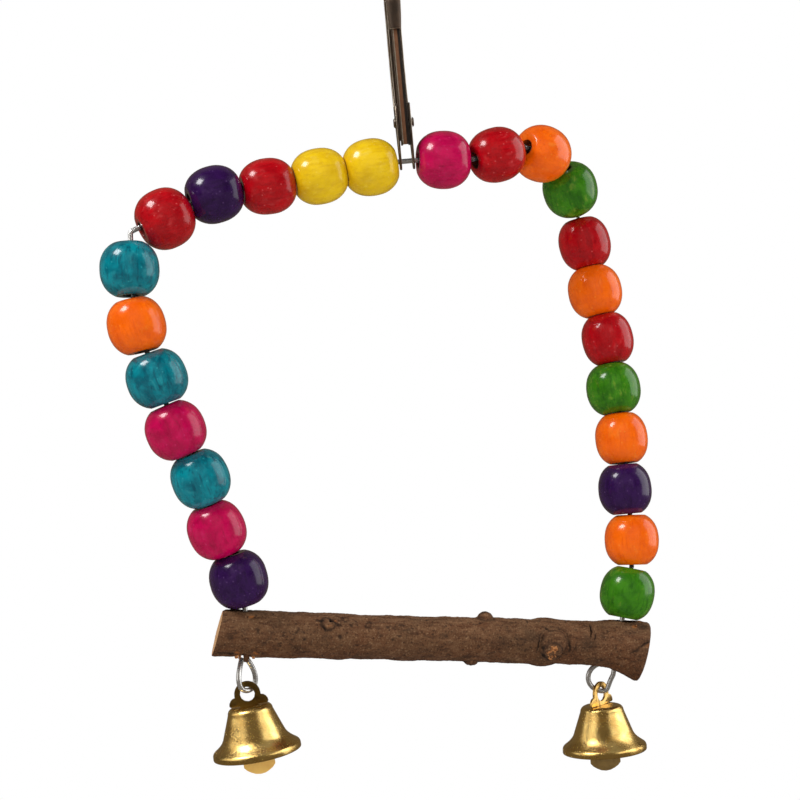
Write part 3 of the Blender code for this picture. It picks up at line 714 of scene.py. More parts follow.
@dataclass(frozen=True)
class Bark(RawWood):
    """Thin brown bark with streaks, flecks and cracks, raw wood where it is torn, and grey streaks
    on its top as a painted highlight.
    """

    deep: Colour = display(38, 24, 15)
    brown: Colour = display(90, 58, 34)
    russet: Colour = display(95, 56, 30)
    grey: Colour = display(132, 98, 69)
    tan: Colour = display(184, 146, 108)
    raw: Colour = display(206, 128, 64)
    streaks: Grain = Grain(0.8, 8.0, 0.6, (0.22, 1.0, 1.0))
    top_highlight_streaks: Veil = Veil(0.35, 0.65, 0.75)
    deep_streaks: Veil = Veil(0.42, 0.28, 0.6)
    mottle: Grain = Grain(0.45, 6.0, 0.8, (0.6, 1.0, 1.0), 5.0)
    deep_mottle: Veil = Veil(0.50, 0.66, 0.55)
    grey_mottle: Veil = Veil(0.46, 0.32, 0.5)
    blotches: Grain = Grain(0.07, warp=0.6, seed=3.0)
    russet_blotches: Veil = Veil(0.40, 0.60)
    grit: Grain = Grain(1.7, 5.0, seed=7.0)
    deep_grit: Veil = Veil(0.54, 0.66, 0.75)
    tan_grit: Veil = Veil(0.44, 0.30, 0.42)
    wart_scale: float = 0.42
    wart_stretch: Colour = (0.7, 1.0, 1.0)
    deep_warts: Veil = Veil(0.20, 0.10, 0.55)
    fibres: Grain = Grain(1.4, stretch=(0.3, 2.0, 2.0))
    roughness: Point = (0.66, 0.9)
    grit_height: float = 0.7
    relief_depth: float = 0.45
    relief_strength: float = 0.8

    def make(self) -> Finish:
        """Makes the material of the bark.

        Returns:
            The material, which reads how dark, torn and high up each place is; how high up sets a
            painted highlight of grey streaks on the top.
        """
        nodes = FinishNodes("bark")
        spot = nodes.spot()
        crown = nodes.attribute("crown")
        streaks = nodes.cloud(spot, self.streaks)
        mottle = nodes.cloud(spot, self.mottle)
        blotches = nodes.cloud(spot, self.blotches)
        grit = nodes.cloud(spot, self.grit)
        warts = nodes.cells(nodes.scaled(spot, self.wart_stretch), self.wart_scale)
        colour = nodes.lay(self.brown, self.russet, blotches, self.russet_blotches)
        colour = nodes.lay(colour, self.deep, mottle, self.deep_mottle)
        colour = nodes.lay(colour, self.grey, mottle, self.grey_mottle)
        # Painted highlight: grey streaks on the top of the branch, where the light falls
        light = nodes.calc("MULTIPLY", crown, nodes.mask(streaks, self.top_highlight_streaks))
        colour = nodes.blend(light, colour, self.grey)
        colour = nodes.lay(colour, self.deep, streaks, self.deep_streaks)
        colour = nodes.lay(colour, self.deep, warts, self.deep_warts)
        colour = nodes.lay(colour, self.deep, grit, self.deep_grit)
        colour = nodes.lay(colour, self.tan, grit, self.tan_grit)
        colour = nodes.blend(nodes.attribute("dark"), colour, self.deep)
        fibres = nodes.spread(nodes.cloud(spot, self.fibres), 0.0, 1.0)
        wood = nodes.blend(fibres, self.raw, self.russet)
        colour = nodes.blend(nodes.attribute("torn"), colour, wood)
        height = nodes.calc("ADD", streaks, nodes.calc("MULTIPLY", grit, self.grit_height))
        return self.surface(nodes, colour, streaks, height)


@dataclass(frozen=True)
class SawnWood(RawWood):
    """Sawn end grain with growth rings, a darker pith and saw marks."""

    pale: Colour = display(226, 186, 140)
    ring: Colour = display(190, 138, 88)
    rim: Colour = display(158, 92, 46)
    rings: float = 58.0
    ring_share: float = 0.6
    ring_veil: Veil = Veil(0.45, 1.05)
    stir: Grain = Grain(0.35)
    sway: float = 0.04
    grit: Grain = Grain(3.0)
    grit_veil: Veil = Veil(0.58, 0.75, 0.6)
    pith_veil: Veil = Veil(0.10, 0.03)
    rim_veil: Veil = Veil(0.88, 0.97)
    saw_marks: Grain = Grain(1.6, 3.0, stretch=(1.0, 0.15, 1.6))

    def make(self) -> Finish:
        """Makes the material of the sawn ends.

        Returns:
            The material, which reads how far each place is from the pith.
        """
        nodes = FinishNodes("sawn_end_grain")
        spot = nodes.spot()
        depth = nodes.attribute("from_pith")
        stir = nodes.cloud(spot, self.stir)
        swayed = nodes.calc("ADD", depth, nodes.spread(stir, -self.sway, self.sway))
        wave = nodes.calc("SINE", nodes.calc("MULTIPLY", swayed, self.rings), 0.0)
        rings = nodes.calc("ADD", nodes.level(wave, -1.0, 1.0, 0.0, self.ring_share), stir)
        colour = nodes.lay(self.pale, self.ring, rings, self.ring_veil)
        grit = nodes.cloud(spot, self.grit)
        colour = nodes.lay(colour, self.ring, grit, self.grit_veil)
        colour = nodes.lay(colour, self.rim, depth, self.pith_veil)
        colour = nodes.lay(colour, self.rim, depth, self.rim_veil)
        height = nodes.calc("ADD", nodes.cloud(spot, self.saw_marks), grit)
        return self.surface(nodes, colour, grit, height)


@dataclass(frozen=True)
class TwigCore(RawWood):
    """The torn fibrous core of a cut side twig."""

    light: Colour = display(206, 140, 84)
    dark: Colour = display(96, 46, 18)
    fibres: Grain = Grain(0.9, 6.0, 0.8, seed=2.0)
    dark_fibres: Veil = Veil(0.38, 0.60)
    relief_depth: float = 0.6
    relief_strength: float = 0.9

    def make(self) -> Finish:
        """Makes the material of the twig's core.

        Returns:
            The material.
        """
        nodes = FinishNodes("twig_core")
        spot = nodes.spot()
        fibres = nodes.cloud(spot, self.fibres)
        colour = nodes.lay(self.light, self.dark, fibres, self.dark_fibres)
        return self.surface(nodes, colour, fibres, fibres)


@dataclass(frozen=True)
class MetalFinish:
    """A metal with clouds of tarnish, specks, fine scratches and scuffed places."""

    name: str
    bright: Colour
    tarnish: Colour
    speck: Colour
    smooth: float
    rough: float
    metallic: float = 1.0
    tarnish_share: float = 0.7
    speck_share: float = 0.6
    scratch: float = 0.6
    clouds: Grain = Grain(0.25, 5.0, 0.7, seed=1.0)
    cloud_veil: Veil = Veil(0.42, 0.70)
    grit: Grain = Grain(2.2, seed=4.0)
    grit_veil: Veil = Veil(0.62, 0.72)
    lines: Grain = Grain(1.0, warp=0.8, stretch=(0.5, 3.0, 3.0), seed=9.0)
    line_veil: Veil = Veil(0.48, 0.60)
    line_wear: float = 0.4
    worn_span: Point = (0.45, 0.95)
    relief_depth: float = 0.05

    def make(self) -> Finish:
        """Makes the material of this metal.

        Returns:
            The material, which reads where a piece is scuffed.
        """
        nodes = FinishNodes(self.name)
        spot = nodes.spot()
        clouds = nodes.cloud(spot, self.clouds)
        grit = nodes.cloud(spot, self.grit)
        lines = nodes.cloud(spot, self.lines)
        colour = nodes.lay(
            self.bright, self.tarnish, clouds, self.cloud_veil, self.tarnish_share
        )
        colour = nodes.lay(colour, self.speck, grit, self.grit_veil, self.speck_share)
        cuts = nodes.calc(
            "MULTIPLY", nodes.attribute("scuff"), nodes.mask(lines, self.line_veil)
        )
        colour = nodes.blend(cuts, colour, self.speck)
        worn = nodes.calc("ADD", clouds, nodes.calc("MULTIPLY", lines, self.line_wear))
        gloss = nodes.level(worn, *self.worn_span, self.smooth, self.rough)
        height = nodes.calc("ADD", lines, grit)
        return nodes.dress(
            {
                "Base Color": colour,
                "Metallic": self.metallic,
                "Roughness": gloss,
                "Normal": nodes.relief(height, self.relief_depth, self.scratch),
            }
        )


BRASS = MetalFinish(
    "polished_brass",
    bright=display(250, 216, 136),
    tarnish=display(212, 160, 74),
    speck=display(84, 54, 20),
    smooth=0.16,
    rough=0.34,
    speck_share=0.55,
)
# Painted shade: brass painted darker for the left hanger's faces, standing for the dark reflection
# they turn to
SHADED_BRASS = MetalFinish(
    "dark_brass",
    bright=display(150, 122, 66),
    tarnish=display(88, 68, 36),
    speck=display(48, 36, 20),
    smooth=0.28,
    rough=0.46,
    tarnish_share=0.8,
)
GOLD_EDGE = MetalFinish(
    "worn_brass_edge",
    bright=display(236, 196, 116),
    tarnish=display(196, 146, 70),
    speck=display(110, 76, 36),
    smooth=0.18,
    rough=0.34,
    tarnish_share=0.6,
    speck_share=0.4,
    scratch=0.4,
)
AMBER_PLATE = MetalFinish(
    "amber_plate",
    bright=display(255, 204, 104),
    tarnish=display(240, 178, 84),
    speck=display(158, 100, 42),
    metallic=0.05,
    smooth=0.36,
    rough=0.52,
    tarnish_share=0.6,
    speck_share=0.35,
    scratch=0.4,
)
OLIVE_PLATE = MetalFinish(
    "olive_plate",
    bright=display(160, 128, 70),
    tarnish=display(120, 94, 48),
    speck=display(52, 40, 20),
    metallic=0.35,
    smooth=0.36,
    rough=0.52,
    speck_share=0.5,
    scratch=0.5,
)
GALVANISED = MetalFinish(
    "galvanised_wire",
    bright=display(232, 233, 234),
    tarnish=display(176, 178, 180),
    speck=display(104, 104, 104),
    metallic=0.85,
    smooth=0.16,
    rough=0.34,
    tarnish_share=0.6,
    speck_share=0.45,
)
# Painted shade: the galvanised wire painted dark where the beads hide it, in their holes and the
# gaps between them
SHADED_WIRE = MetalFinish(
    "dull_wire",
    bright=display(92, 90, 88),
    tarnish=display(62, 58, 54),
    speck=display(34, 31, 28),
    metallic=0.5,
    smooth=0.36,
    rough=0.55,
    scratch=0.5,
)
BRONZED = MetalFinish(
    "bronzed_steel",
    bright=display(66, 54, 44),
    tarnish=display(92, 70, 54),
    speck=display(24, 20, 17),
    metallic=0.6,
    smooth=0.34,
    rough=0.52,
    speck_share=0.85,
    scratch=0.8,
)
COPPERED = MetalFinish(
    "coppered_steel",
    bright=display(132, 90, 64),
    tarnish=display(100, 66, 46),
    speck=display(48, 33, 25),
    metallic=0.6,
    smooth=0.32,
    rough=0.5,
    scratch=0.7,
)
# Painted shade: black for the gate's right flank, which is turned away from the light
SHADED_FLANK = MetalFinish(
    "blackened_steel",
    bright=display(36, 30, 26),
    tarnish=display(54, 42, 34),
    speck=display(14, 12, 10),
    metallic=0.5,
    smooth=0.36,
    rough=0.56,
    tarnish_share=0.6,
    speck_share=0.7,
    scratch=0.7,
)
# Wear on the eased edges, and partly a painted highlight: bright edge glints and the gate's lit
# fold
WORN_AND_LIT_EDGE = MetalFinish(
    "worn_steel_edge",
    bright=display(186, 174, 158),
    tarnish=display(122, 104, 86),
    speck=display(54, 46, 40),
    metallic=0.8,
    smooth=0.26,
    rough=0.44,
    tarnish_share=0.8,
)
SPRING_STEEL = MetalFinish(
    "spring_steel",
    bright=display(150, 152, 156),
    tarnish=display(96, 98, 104),
    speck=display(60, 58, 56),
    smooth=0.28,
    rough=0.44,
    tarnish_share=0.6,
    speck_share=0.4,
)


@dataclass(frozen=True)
class BeadSize:
    """One bead's sizes, measured on its solid, in millimetres."""

    radius: float
    half: float
    flat: float
    bore: float


@dataclass
class BeadString:
    """The twenty-four turned beads, each spinning on the wire."""

    bench: PieceBench
    segments: int = 64
    rings: int = 24
    fullness: float = 2.3
    edge: float = 0.25
    wobble: float = 0.10
    slim: float = 0.24
    usual_radius: float = 9.2
    end_slice: float = 0.02
    sharp: float = 20.0
    edge_steps: int = 3
    crease: float = 60.0
    bumps: tuple[Point, ...] = ((0.13, 1.0), (0.4, 0.4))
    bump_step: Point = (7.3, 3.1)
    seed_step: float = 1.37

    def build(self) -> None:
        """Makes every bead in its own lacquer."""
        coats = {colour: LACQUERS[colour].make(colour.value) for colour in BeadColour}
        nodes = sorted(node for node in self.bench.frame.nodes if node.startswith("bead_"))
        for index, node in enumerate(nodes):
            coat = coats[BeadColour(node.rsplit("_", 1)[1])]
            centre, axis = self.bench.frame.hinge(self.bench.frame.bodies[node])
            place = standing(centre, axis)
            shape = self.turn(self.measure(node, place))
            self.wear(shape, index)
            put(shape, place)
            self.bench.add(f"turned_{node}", shape, [coat], node, self.crease)

    def measure(self, node: str, place: Matrix) -> BeadSize:
        """Measures a bead's solid.

        Args:
            node: The solid's name.
            place: The bead's own frame.

        Returns:
            Its sizes.
        """
        points = self.bench.frame.points(node, place)
        across = np.hypot(points[:, 0], points[:, 1])
        half = np.abs(points[:, 2]).max()
        ends = np.abs(points[:, 2]) > half - self.end_slice
        return BeadSize(across.max(), half, across[ends].max(), across.min())

    def turn(self, size: BeadSize) -> Shape:
        """Turns a bead: round belly, flat ends, bore and eased edges.

        Args:
            size: The sizes of its solid.

        Returns:
            The bead in its own frame.
        """
        power = self.fullness
        reach = size.half / (1 - (size.flat / size.radius) ** power) ** (1 / power)
        belly = []
        for i in range(1, self.rings):
            height = -size.half * math.cos(math.pi * i / self.rings)
            if abs(height) > size.half - 2 * self.edge:
                continue
            belly.append((size.radius * (1 - abs(height / reach) ** power) ** (1 / power), height))
        low = [(size.bore, -size.half), (size.flat, -size.half)]
        high = [(size.flat, size.half), (size.bore, size.half)]
        shape = turned([*low, *belly, *high], self.segments, True)
        round_edges(shape, self.sharp, self.edge, self.edge_steps)
        return shape

    def wear(self, shape: Shape, index: int) -> None:
        """Makes a bead slightly uneven and stores its own place on each point.

        Args:
            shape: The bead in its own frame.
            index: Number of the bead, so that no two are alike.
        """
        local = shape.verts.layers.float_vector.new("local")
        seed = shape.verts.layers.float.new("seed")
        shift = Vector((index * self.bump_step[0], index * self.bump_step[1], 0.0))
        for vertex in shape.verts:
            vertex[local] = vertex.co
            vertex[seed] = index * self.seed_step
            out = Vector((vertex.co.x, vertex.co.y, 0.0)) / self.usual_radius
            bump = 0.0
            for scale, share in self.bumps:
                bump += share * noise.noise(vertex.co * scale + shift)
            vertex.co += out * (bump * self.wobble - self.slim)


@dataclass(frozen=True)
class WireEye:
    """The open eye that one end of the wire is bent into, in millimetres and degrees."""

    fall: float
    height: float
    width: float
    lead: float
    swell: float
    tail_taper: float
    tail_rise: float
    tail_behind: float
    tail: float


@dataclass
class ArchWire:
    """The one bent wire, through beads and perch, with an eye at each end."""

    bench: PieceBench
    diameter: float = 1.6
    bend: float = 1.6
    left_eye: WireEye = WireEye(92.0, 9.9, 8.4, 0.0, 1.0, 1.0, 0.0, 2.0, 0.25)
    right_eye: WireEye = WireEye(100.0, 5.9, 9.0, -3.4, 0.16, 0.15, 3.2, 0.0, 0.06)
    eye_steps: int = 30
    swell_power: int = 3
    shade_reach: float = 9.3
    hole_reach: float = 7.6
    beads: int = 12
    near: float = 3.0
    round_steps: int = 6
    curve_order: int = 3
    run_steps: int = 4
    crease: float = 50.0

    def build(self) -> None:
        """Makes the wire along its whole route."""
        left = self.half_route("left", -1.0, self.left_eye)
        right = self.half_route("right", 1.0, self.right_eye)
        seat, _ = self.bench.frame.hinge("swing")
        shape = self.draw([*left[::-1], seat, *right])
        # The wire is painted dark where beads hide it, as painted shade
        self.dull(shape)
        finishes = [GALVANISED.make(), SHADED_WIRE.make()]
        self.bench.add("formed_wire", shape, finishes, "swing_wire", self.crease)

    def dull(self, shape: Shape) -> None:
        """Gives the second finish, painted shade, to the wire in a bead's hole or close between
        two beads.

        Args:
            shape: The drawn wire, in metres.
        """
        frame = self.bench.frame
        reaches = (self.shade_reach * MM, self.hole_reach * MM)
        beads = [frame.hinge(body) for body in frame.joints if body.startswith("bead_")]
        for face in shape.faces:
            spot = face.calc_center_median()
            hidden = 0
            for centre, along in beads:
                off = (spot - centre).dot(along)
                beside = (spot - centre - along * off).length
                if beside < self.shade_reach / 2 * MM:
                    hidden += sum(abs(off) < reach for reach in reaches)
            face.material_index = int(hidden > 1)

    def half_route(self, side: str, sign: float, eye: WireEye) -> list[Vector]:
        """Follows the wire from the clip to the end of one eye.

        Args:
            side: The side's name.
            sign: -1 for left and 1 for right.
            eye: The eye that closes this end.

        Returns:
            Points along the wire, in metres.
        """
        seat, along = self.bench.frame.hinge("swing")
        lines = [(seat, along)]
        lines += [self.line_in(f"bead_{side}_{i:02d}") for i in range(1, self.beads + 1)]
        bottom, across = self.bench.frame.hinge(f"{side}_bell")
        angle = math.radians(eye.fall)
        down = Vector((sign * math.cos(angle), 0.0, -math.sin(angle)))
        top = bottom - (down * eye.height + across * eye.lead) * MM
        lines.append((top, down))
        points = []
        for (first, ahead), (second, on) in zip(lines, lines[1:]):
            near, far = intersect_line_line(first, first + ahead, second, second + on)
            corner = (near + far) / 2
            before = (points[-1] if points else first) - corner
            after = second - corner
            points.append(corner + before.normalized() * self.bend * MM)
            points.append(corner)
            points.append(corner + after.normalized() * self.bend * MM)
        return points + self.eye_route(eye, top, down, across)

    def eye_route(
        self, eye: WireEye, top: Vector, down: Vector, across: Vector
    ) -> list[Vector]:
        """Follows the wire round one eye.

        Args:
            eye: The eye.
            top: Where it starts, under the perch.
            down: Direction of the wire there.
            across: Direction across the eye.

        Returns:
            Points along the eye, in metres.
        """
        # The outline sin t sin t/2 is 4 / (3 sqrt 3) wide at its widest
        half = (eye.width - self.diameter) / 2 * 3 * math.sqrt(3) / 4
        behind = across.cross(down) * eye.tail_behind
        last = math.tau - eye.tail
        points = []
        for i in range(self.eye_steps + 1):
            t = last * i / self.eye_steps
            drop = (1 - math.cos(t)) / 2
            if t < math.pi:
                swell = eye.swell + (1 - eye.swell) * (t / math.pi) ** self.swell_power
                out = half * swell * math.sin(t) * math.sin(t / 2) + eye.lead * drop
                fall = eye.height * drop
                back = 0.0
            else:
                out = half * math.sin(t) * math.sin(t / 2) ** eye.tail_taper + eye.lead
                fall = (eye.height + eye.tail_rise) * drop - eye.tail_rise
                back = (t - math.pi) / (last - math.pi)
            rear = behind * (1 - math.cos(math.pi * back**2)) / 2
            points.append(top + (across * out + down * fall + rear) * MM)
        return points

    def line_in(self, body: str) -> tuple[Vector, Vector]:
        """Finds the wire's straight run inside a bead, by slicing the wire's solid there.

        Args:
            body: The bead's body.

        Returns:
            A point of the run and its direction.
        """
        centre, along = self.bench.frame.hinge(body)
        cut = self.bench.frame.cut("swing_wire", centre, along)
        spots = [spot for spot in cut if (spot - centre).length < self.near * MM]
        return sum(spots, Vector()) / len(spots), along

    def draw(self, route: list[Vector]) -> Shape:
        """Draws the wire along a smooth curve that follows its route.

        Args:
            route: Points along the wire, in metres.

        Returns:
            The wire, in metres.
        """
        curve = bpy.data.curves.new("wire_route", "CURVE")
        curve.dimensions = "3D"
        curve.bevel_depth = self.diameter / 2 * MM
        curve.bevel_resolution = self.round_steps
        curve.use_fill_caps = True
        spline = curve.splines.new("NURBS")
        spline.points.add(len(route) - 1)
        for point, spot in zip(spline.points, route):
            point.co = (*spot, 1.0)
        spline.order_u = self.curve_order
        spline.use_endpoint_u = True
        spline.resolution_u = self.run_steps
        drawn = bpy.data.objects.new("wire_route", curve)
        bpy.context.scene.collection.objects.link(drawn)
        mesh = bpy.data.meshes.new_from_object(drawn)
        shape = bmesh.new()
        shape.from_mesh(mesh)
        bpy.data.objects.remove(drawn)
        bpy.data.curves.remove(curve)
        bpy.data.meshes.remove(mesh)
        bmesh.ops.remove_doubles(shape, verts=shape.verts, dist=MERGE_M)
        bmesh.ops.recalc_face_normals(shape, faces=shape.faces)
        return shape


class MarkKind(Enum):
    """What a mark in the bark shows."""

    DARK = "dark"
    RING = "ring"
    TORN = "torn"
    PLAIN = "plain"


DARK, RING, TORN, PLAIN = MarkKind


@dataclass(frozen=True)
class Mark:
    """An oval mark in the bark: its place, half sizes, height, look, strength and turn."""

    along: float
    around: float
    length: float
    breadth: float
    height: float
    kind: MarkKind
    share: float = 1.0
    turn: float = 0.0


@dataclass(frozen=True)
class BarkLayer:
    """One layer of rough relief: its height, fineness, fade, octaves and middle."""

    height: float
    fineness: float
    fade: float
    octaves: int
    middle: float
    gap: float = 2.0

    def at(self, spot: Vector) -> float:
        """Gives how far the layer stands out at a place."""
        rough = noise.fractal(spot * self.fineness, self.fade, self.gap, self.octaves)
        return self.height * (rough - self.middle)


@dataclass(frozen=True)
class Splinter:
    """A loose shard of bark or wood: its place, length, width, turn and lean."""

    along: float
    around: float
    length: float
    width: float
    turn: float
    lean: float
    bare: bool = True


BARK_MARKS = (
    # Knot
    Mark(33.5, 38.0, 2.9, 2.5, 0.30, PLAIN),
    Mark(33.3, 37.0, 2.2, 2.1, -0.20, RING, 0.75),
    Mark(34.5, 46.0, 0.75, 0.85, -1.1, DARK),
    Mark(30.9, 45.0, 1.5, 0.5, -0.15, DARK, 0.8, -12.0),
    Mark(31.9, 30.0, 0.45, 1.4, -0.10, DARK, 0.6, 12.0),
    Mark(36.5, 39.0, 1.4, 0.55, -0.15, DARK, 0.85, -38.0),
    Mark(35.9, 47.0, 0.45, 0.35, 0.12, TORN, 0.55),
    Mark(33.6, 28.5, 1.0, 0.3, 0.10, TORN, 0.35),
    # Speckles
    Mark(9.4, 53.0, 0.75, 0.5, -0.1, TORN, 1.0, 40.0),
    Mark(11.2, 16.0, 0.5, 1.1, -0.10, DARK, 0.75),
    Mark(16.5, 68.0, 0.5, 0.5, -0.10, DARK, 0.9),
    Mark(23.7, 16.0, 1.5, 0.45, -0.12, DARK, 0.7, 60.0),
    Mark(25.7, -4.0, 0.55, 0.5, -0.10, DARK, 0.75),
    Mark(17.9, -18.0, 0.4, 0.4, -0.10, DARK, 0.7),
    Mark(37.2, 3.7, 0.8, 0.7, -0.15, DARK, 0.8),
    Mark(40.8, 34.6, 0.5, 0.45, -0.10, DARK, 0.85),
    Mark(42.8, 36.5, 0.45, 0.4, -0.10, DARK, 0.85),
    Mark(42.4, 50.8, 0.6, 0.4, -0.10, DARK, 0.7),
    Mark(39.3, 56.0, 0.9, 0.9, -0.10, RING, 0.65),
    Mark(46.4, 38.0, 0.8, 0.8, -0.10, RING, 0.55),
    Mark(52.6, 31.0, 0.5, 0.4, -0.10, DARK, 0.7),
    Mark(54.1, 1.0, 0.5, 0.5, -0.10, DARK, 0.6),
    Mark(57.5, 42.0, 0.45, 0.4, -0.10, DARK, 0.6),
    Mark(0.9, 36.8, 0.6, 0.5, -0.10, DARK, 0.6),
    Mark(2.3, -2.0, 1.2, 0.8, -0.05, DARK, 0.35),
    Mark(6.0, 88.0, 5.5, 1.3, -0.25, DARK, 0.75),
    Mark(30.0, 88.0, 0.9, 0.5, -0.15, DARK, 0.6),
    Mark(66.0, 60.0, 0.8, 0.4, -0.10, DARK, 0.5, 20.0),
    Mark(71.0, 12.0, 1.6, 0.9, -0.10, DARK, 0.35),
    # Wire holes
    Mark(7.0, 90.0, 7.0, 5.0, 0.4, PLAIN),
    Mark(134.0, 90.0, 7.0, 5.0, 0.7, PLAIN),
    Mark(8.7, -80.0, 2.6, 2.2, -0.5, DARK, 0.8),
    Mark(5.6, -57.0, 1.3, 0.7, -0.5, TORN, 0.75, 10.0),
    Mark(11.4, -52.0, 1.0, 0.5, -0.4, TORN, 0.7, -20.0),
    Mark(8.9, -47.0, 1.3, 1.4, 0.5, PLAIN),
    Mark(2.0, -60.0, 3.0, 1.0, -0.7, DARK, 0.7),
    Mark(4.2, -66.0, 0.9, 1.2, -0.6, DARK, 0.8),
    Mark(131.0, -86.0, 2.4, 1.8, -0.4, DARK, 0.6),
    Mark(134.5, 86.0, 4.0, 1.4, -0.3, DARK, 0.6),
    Mark(136.9, 55.0, 0.9, 0.6, -0.2, TORN, 1.0, 20.0),
    Mark(139.4, 78.0, 1.0, 0.7, -0.2, TORN, 0.7),
    Mark(129.6, 88.0, 1.0, 0.6, -0.1, TORN, 0.8),
    # Buds
    Mark(86.4, 74.0, 2.6, 1.4, 0.0, RING, 0.6),
    Mark(86.4, 88.0, 1.6, 1.3, 0.0, DARK, 0.5),
    Mark(82.3, -74.0, 2.4, 1.6, 0.0, RING, 0.6),
    Mark(82.0, -80.0, 1.3, 1.0, 0.0, DARK, 0.55),
    Mark(80.0, -44.0, 1.8, 1.5, -0.1, DARK, 0.4),
    # Cut twig
    Mark(108.2, 2.0, 4.3, 4.4, -0.25, RING, 0.55),
    Mark(108.2, 2.0, 5.4, 5.5, -0.20, RING, 0.45),
    Mark(107.4, -17.5, 3.1, 3.1, 0.0, RING, 0.7),
    Mark(113.2, 0.0, 0.3, 3.0, -0.30, DARK, 0.75, 12.0),
    Mark(115.1, -12.0, 0.3, 2.6, -0.25, DARK, 0.6, -16.0),
    Mark(105.8, 42.0, 2.8, 0.4, -0.30, DARK, 0.6, -30.0),
    Mark(102.9, -4.0, 0.4, 2.2, -0.25, DARK, 0.6, -10.0),
    Mark(106.6, -82.0, 3.4, 2.6, 0.7, PLAIN),
    Mark(107.0, 88.0, 3.6, 2.4, 0.45, PLAIN),
    Mark(100.6, 20.0, 3.2, 2.2, -0.1, DARK, 0.45),
    Mark(97.0, 3.0, 1.3, 1.0, -0.1, RING, 0.4),
    Mark(90.0, 0.0, 4.2, 2.4, -0.1, DARK, 0.3),
    # Thick end
    Mark(121.2, 45.0, 0.38, 2.8, -0.9, DARK, 1.0, -14.0),
    Mark(122.3, 22.0, 0.28, 1.1, -0.4, DARK, 0.9, -10.0),
    Mark(119.8, 58.0, 1.2, 0.3, -0.3, DARK, 0.8, -20.0),
    Mark(119.7, 2.0, 3.2, 2.4, -0.1, DARK, 0.4),
    Mark(99.9, 70.0, 0.35, 1.6, -0.4, DARK, 0.8),
    Mark(135.4, -8.0, 2.0, 0.32, -0.4, DARK, 0.85, 32.0),
    Mark(138.8, 6.0, 2.4, 0.34, -0.5, DARK, 0.9, 24.0),
    Mark(140.2, 3.0, 1.2, 0.5, -0.2, TORN, 0.5, 20.0),
    Mark(139.5, 60.0, 1.8, 1.6, -0.3, DARK, 0.5),
)
LOOSE_BARK = (
    Splinter(9.3, -80.0, 3.6, 2.8, 0.0, 82.0, False),
    Splinter(6.0, -76.0, 1.8, 2.0, 20.0, 60.0),
    Splinter(7.3, -84.0, 1.8, 1.5, -30.0, 74.0),
    Splinter(11.3, -76.0, 1.8, 1.7, 30.0, 60.0),
    Splinter(136.9, 58.0, 1.8, 1.2, 65.0, 50.0),
    Splinter(137.8, 70.0, 1.4, 0.8, 120.0, 64.0),
    Splinter(129.6, 84.0, 1.5, 1.1, 80.0, 56.0),
)


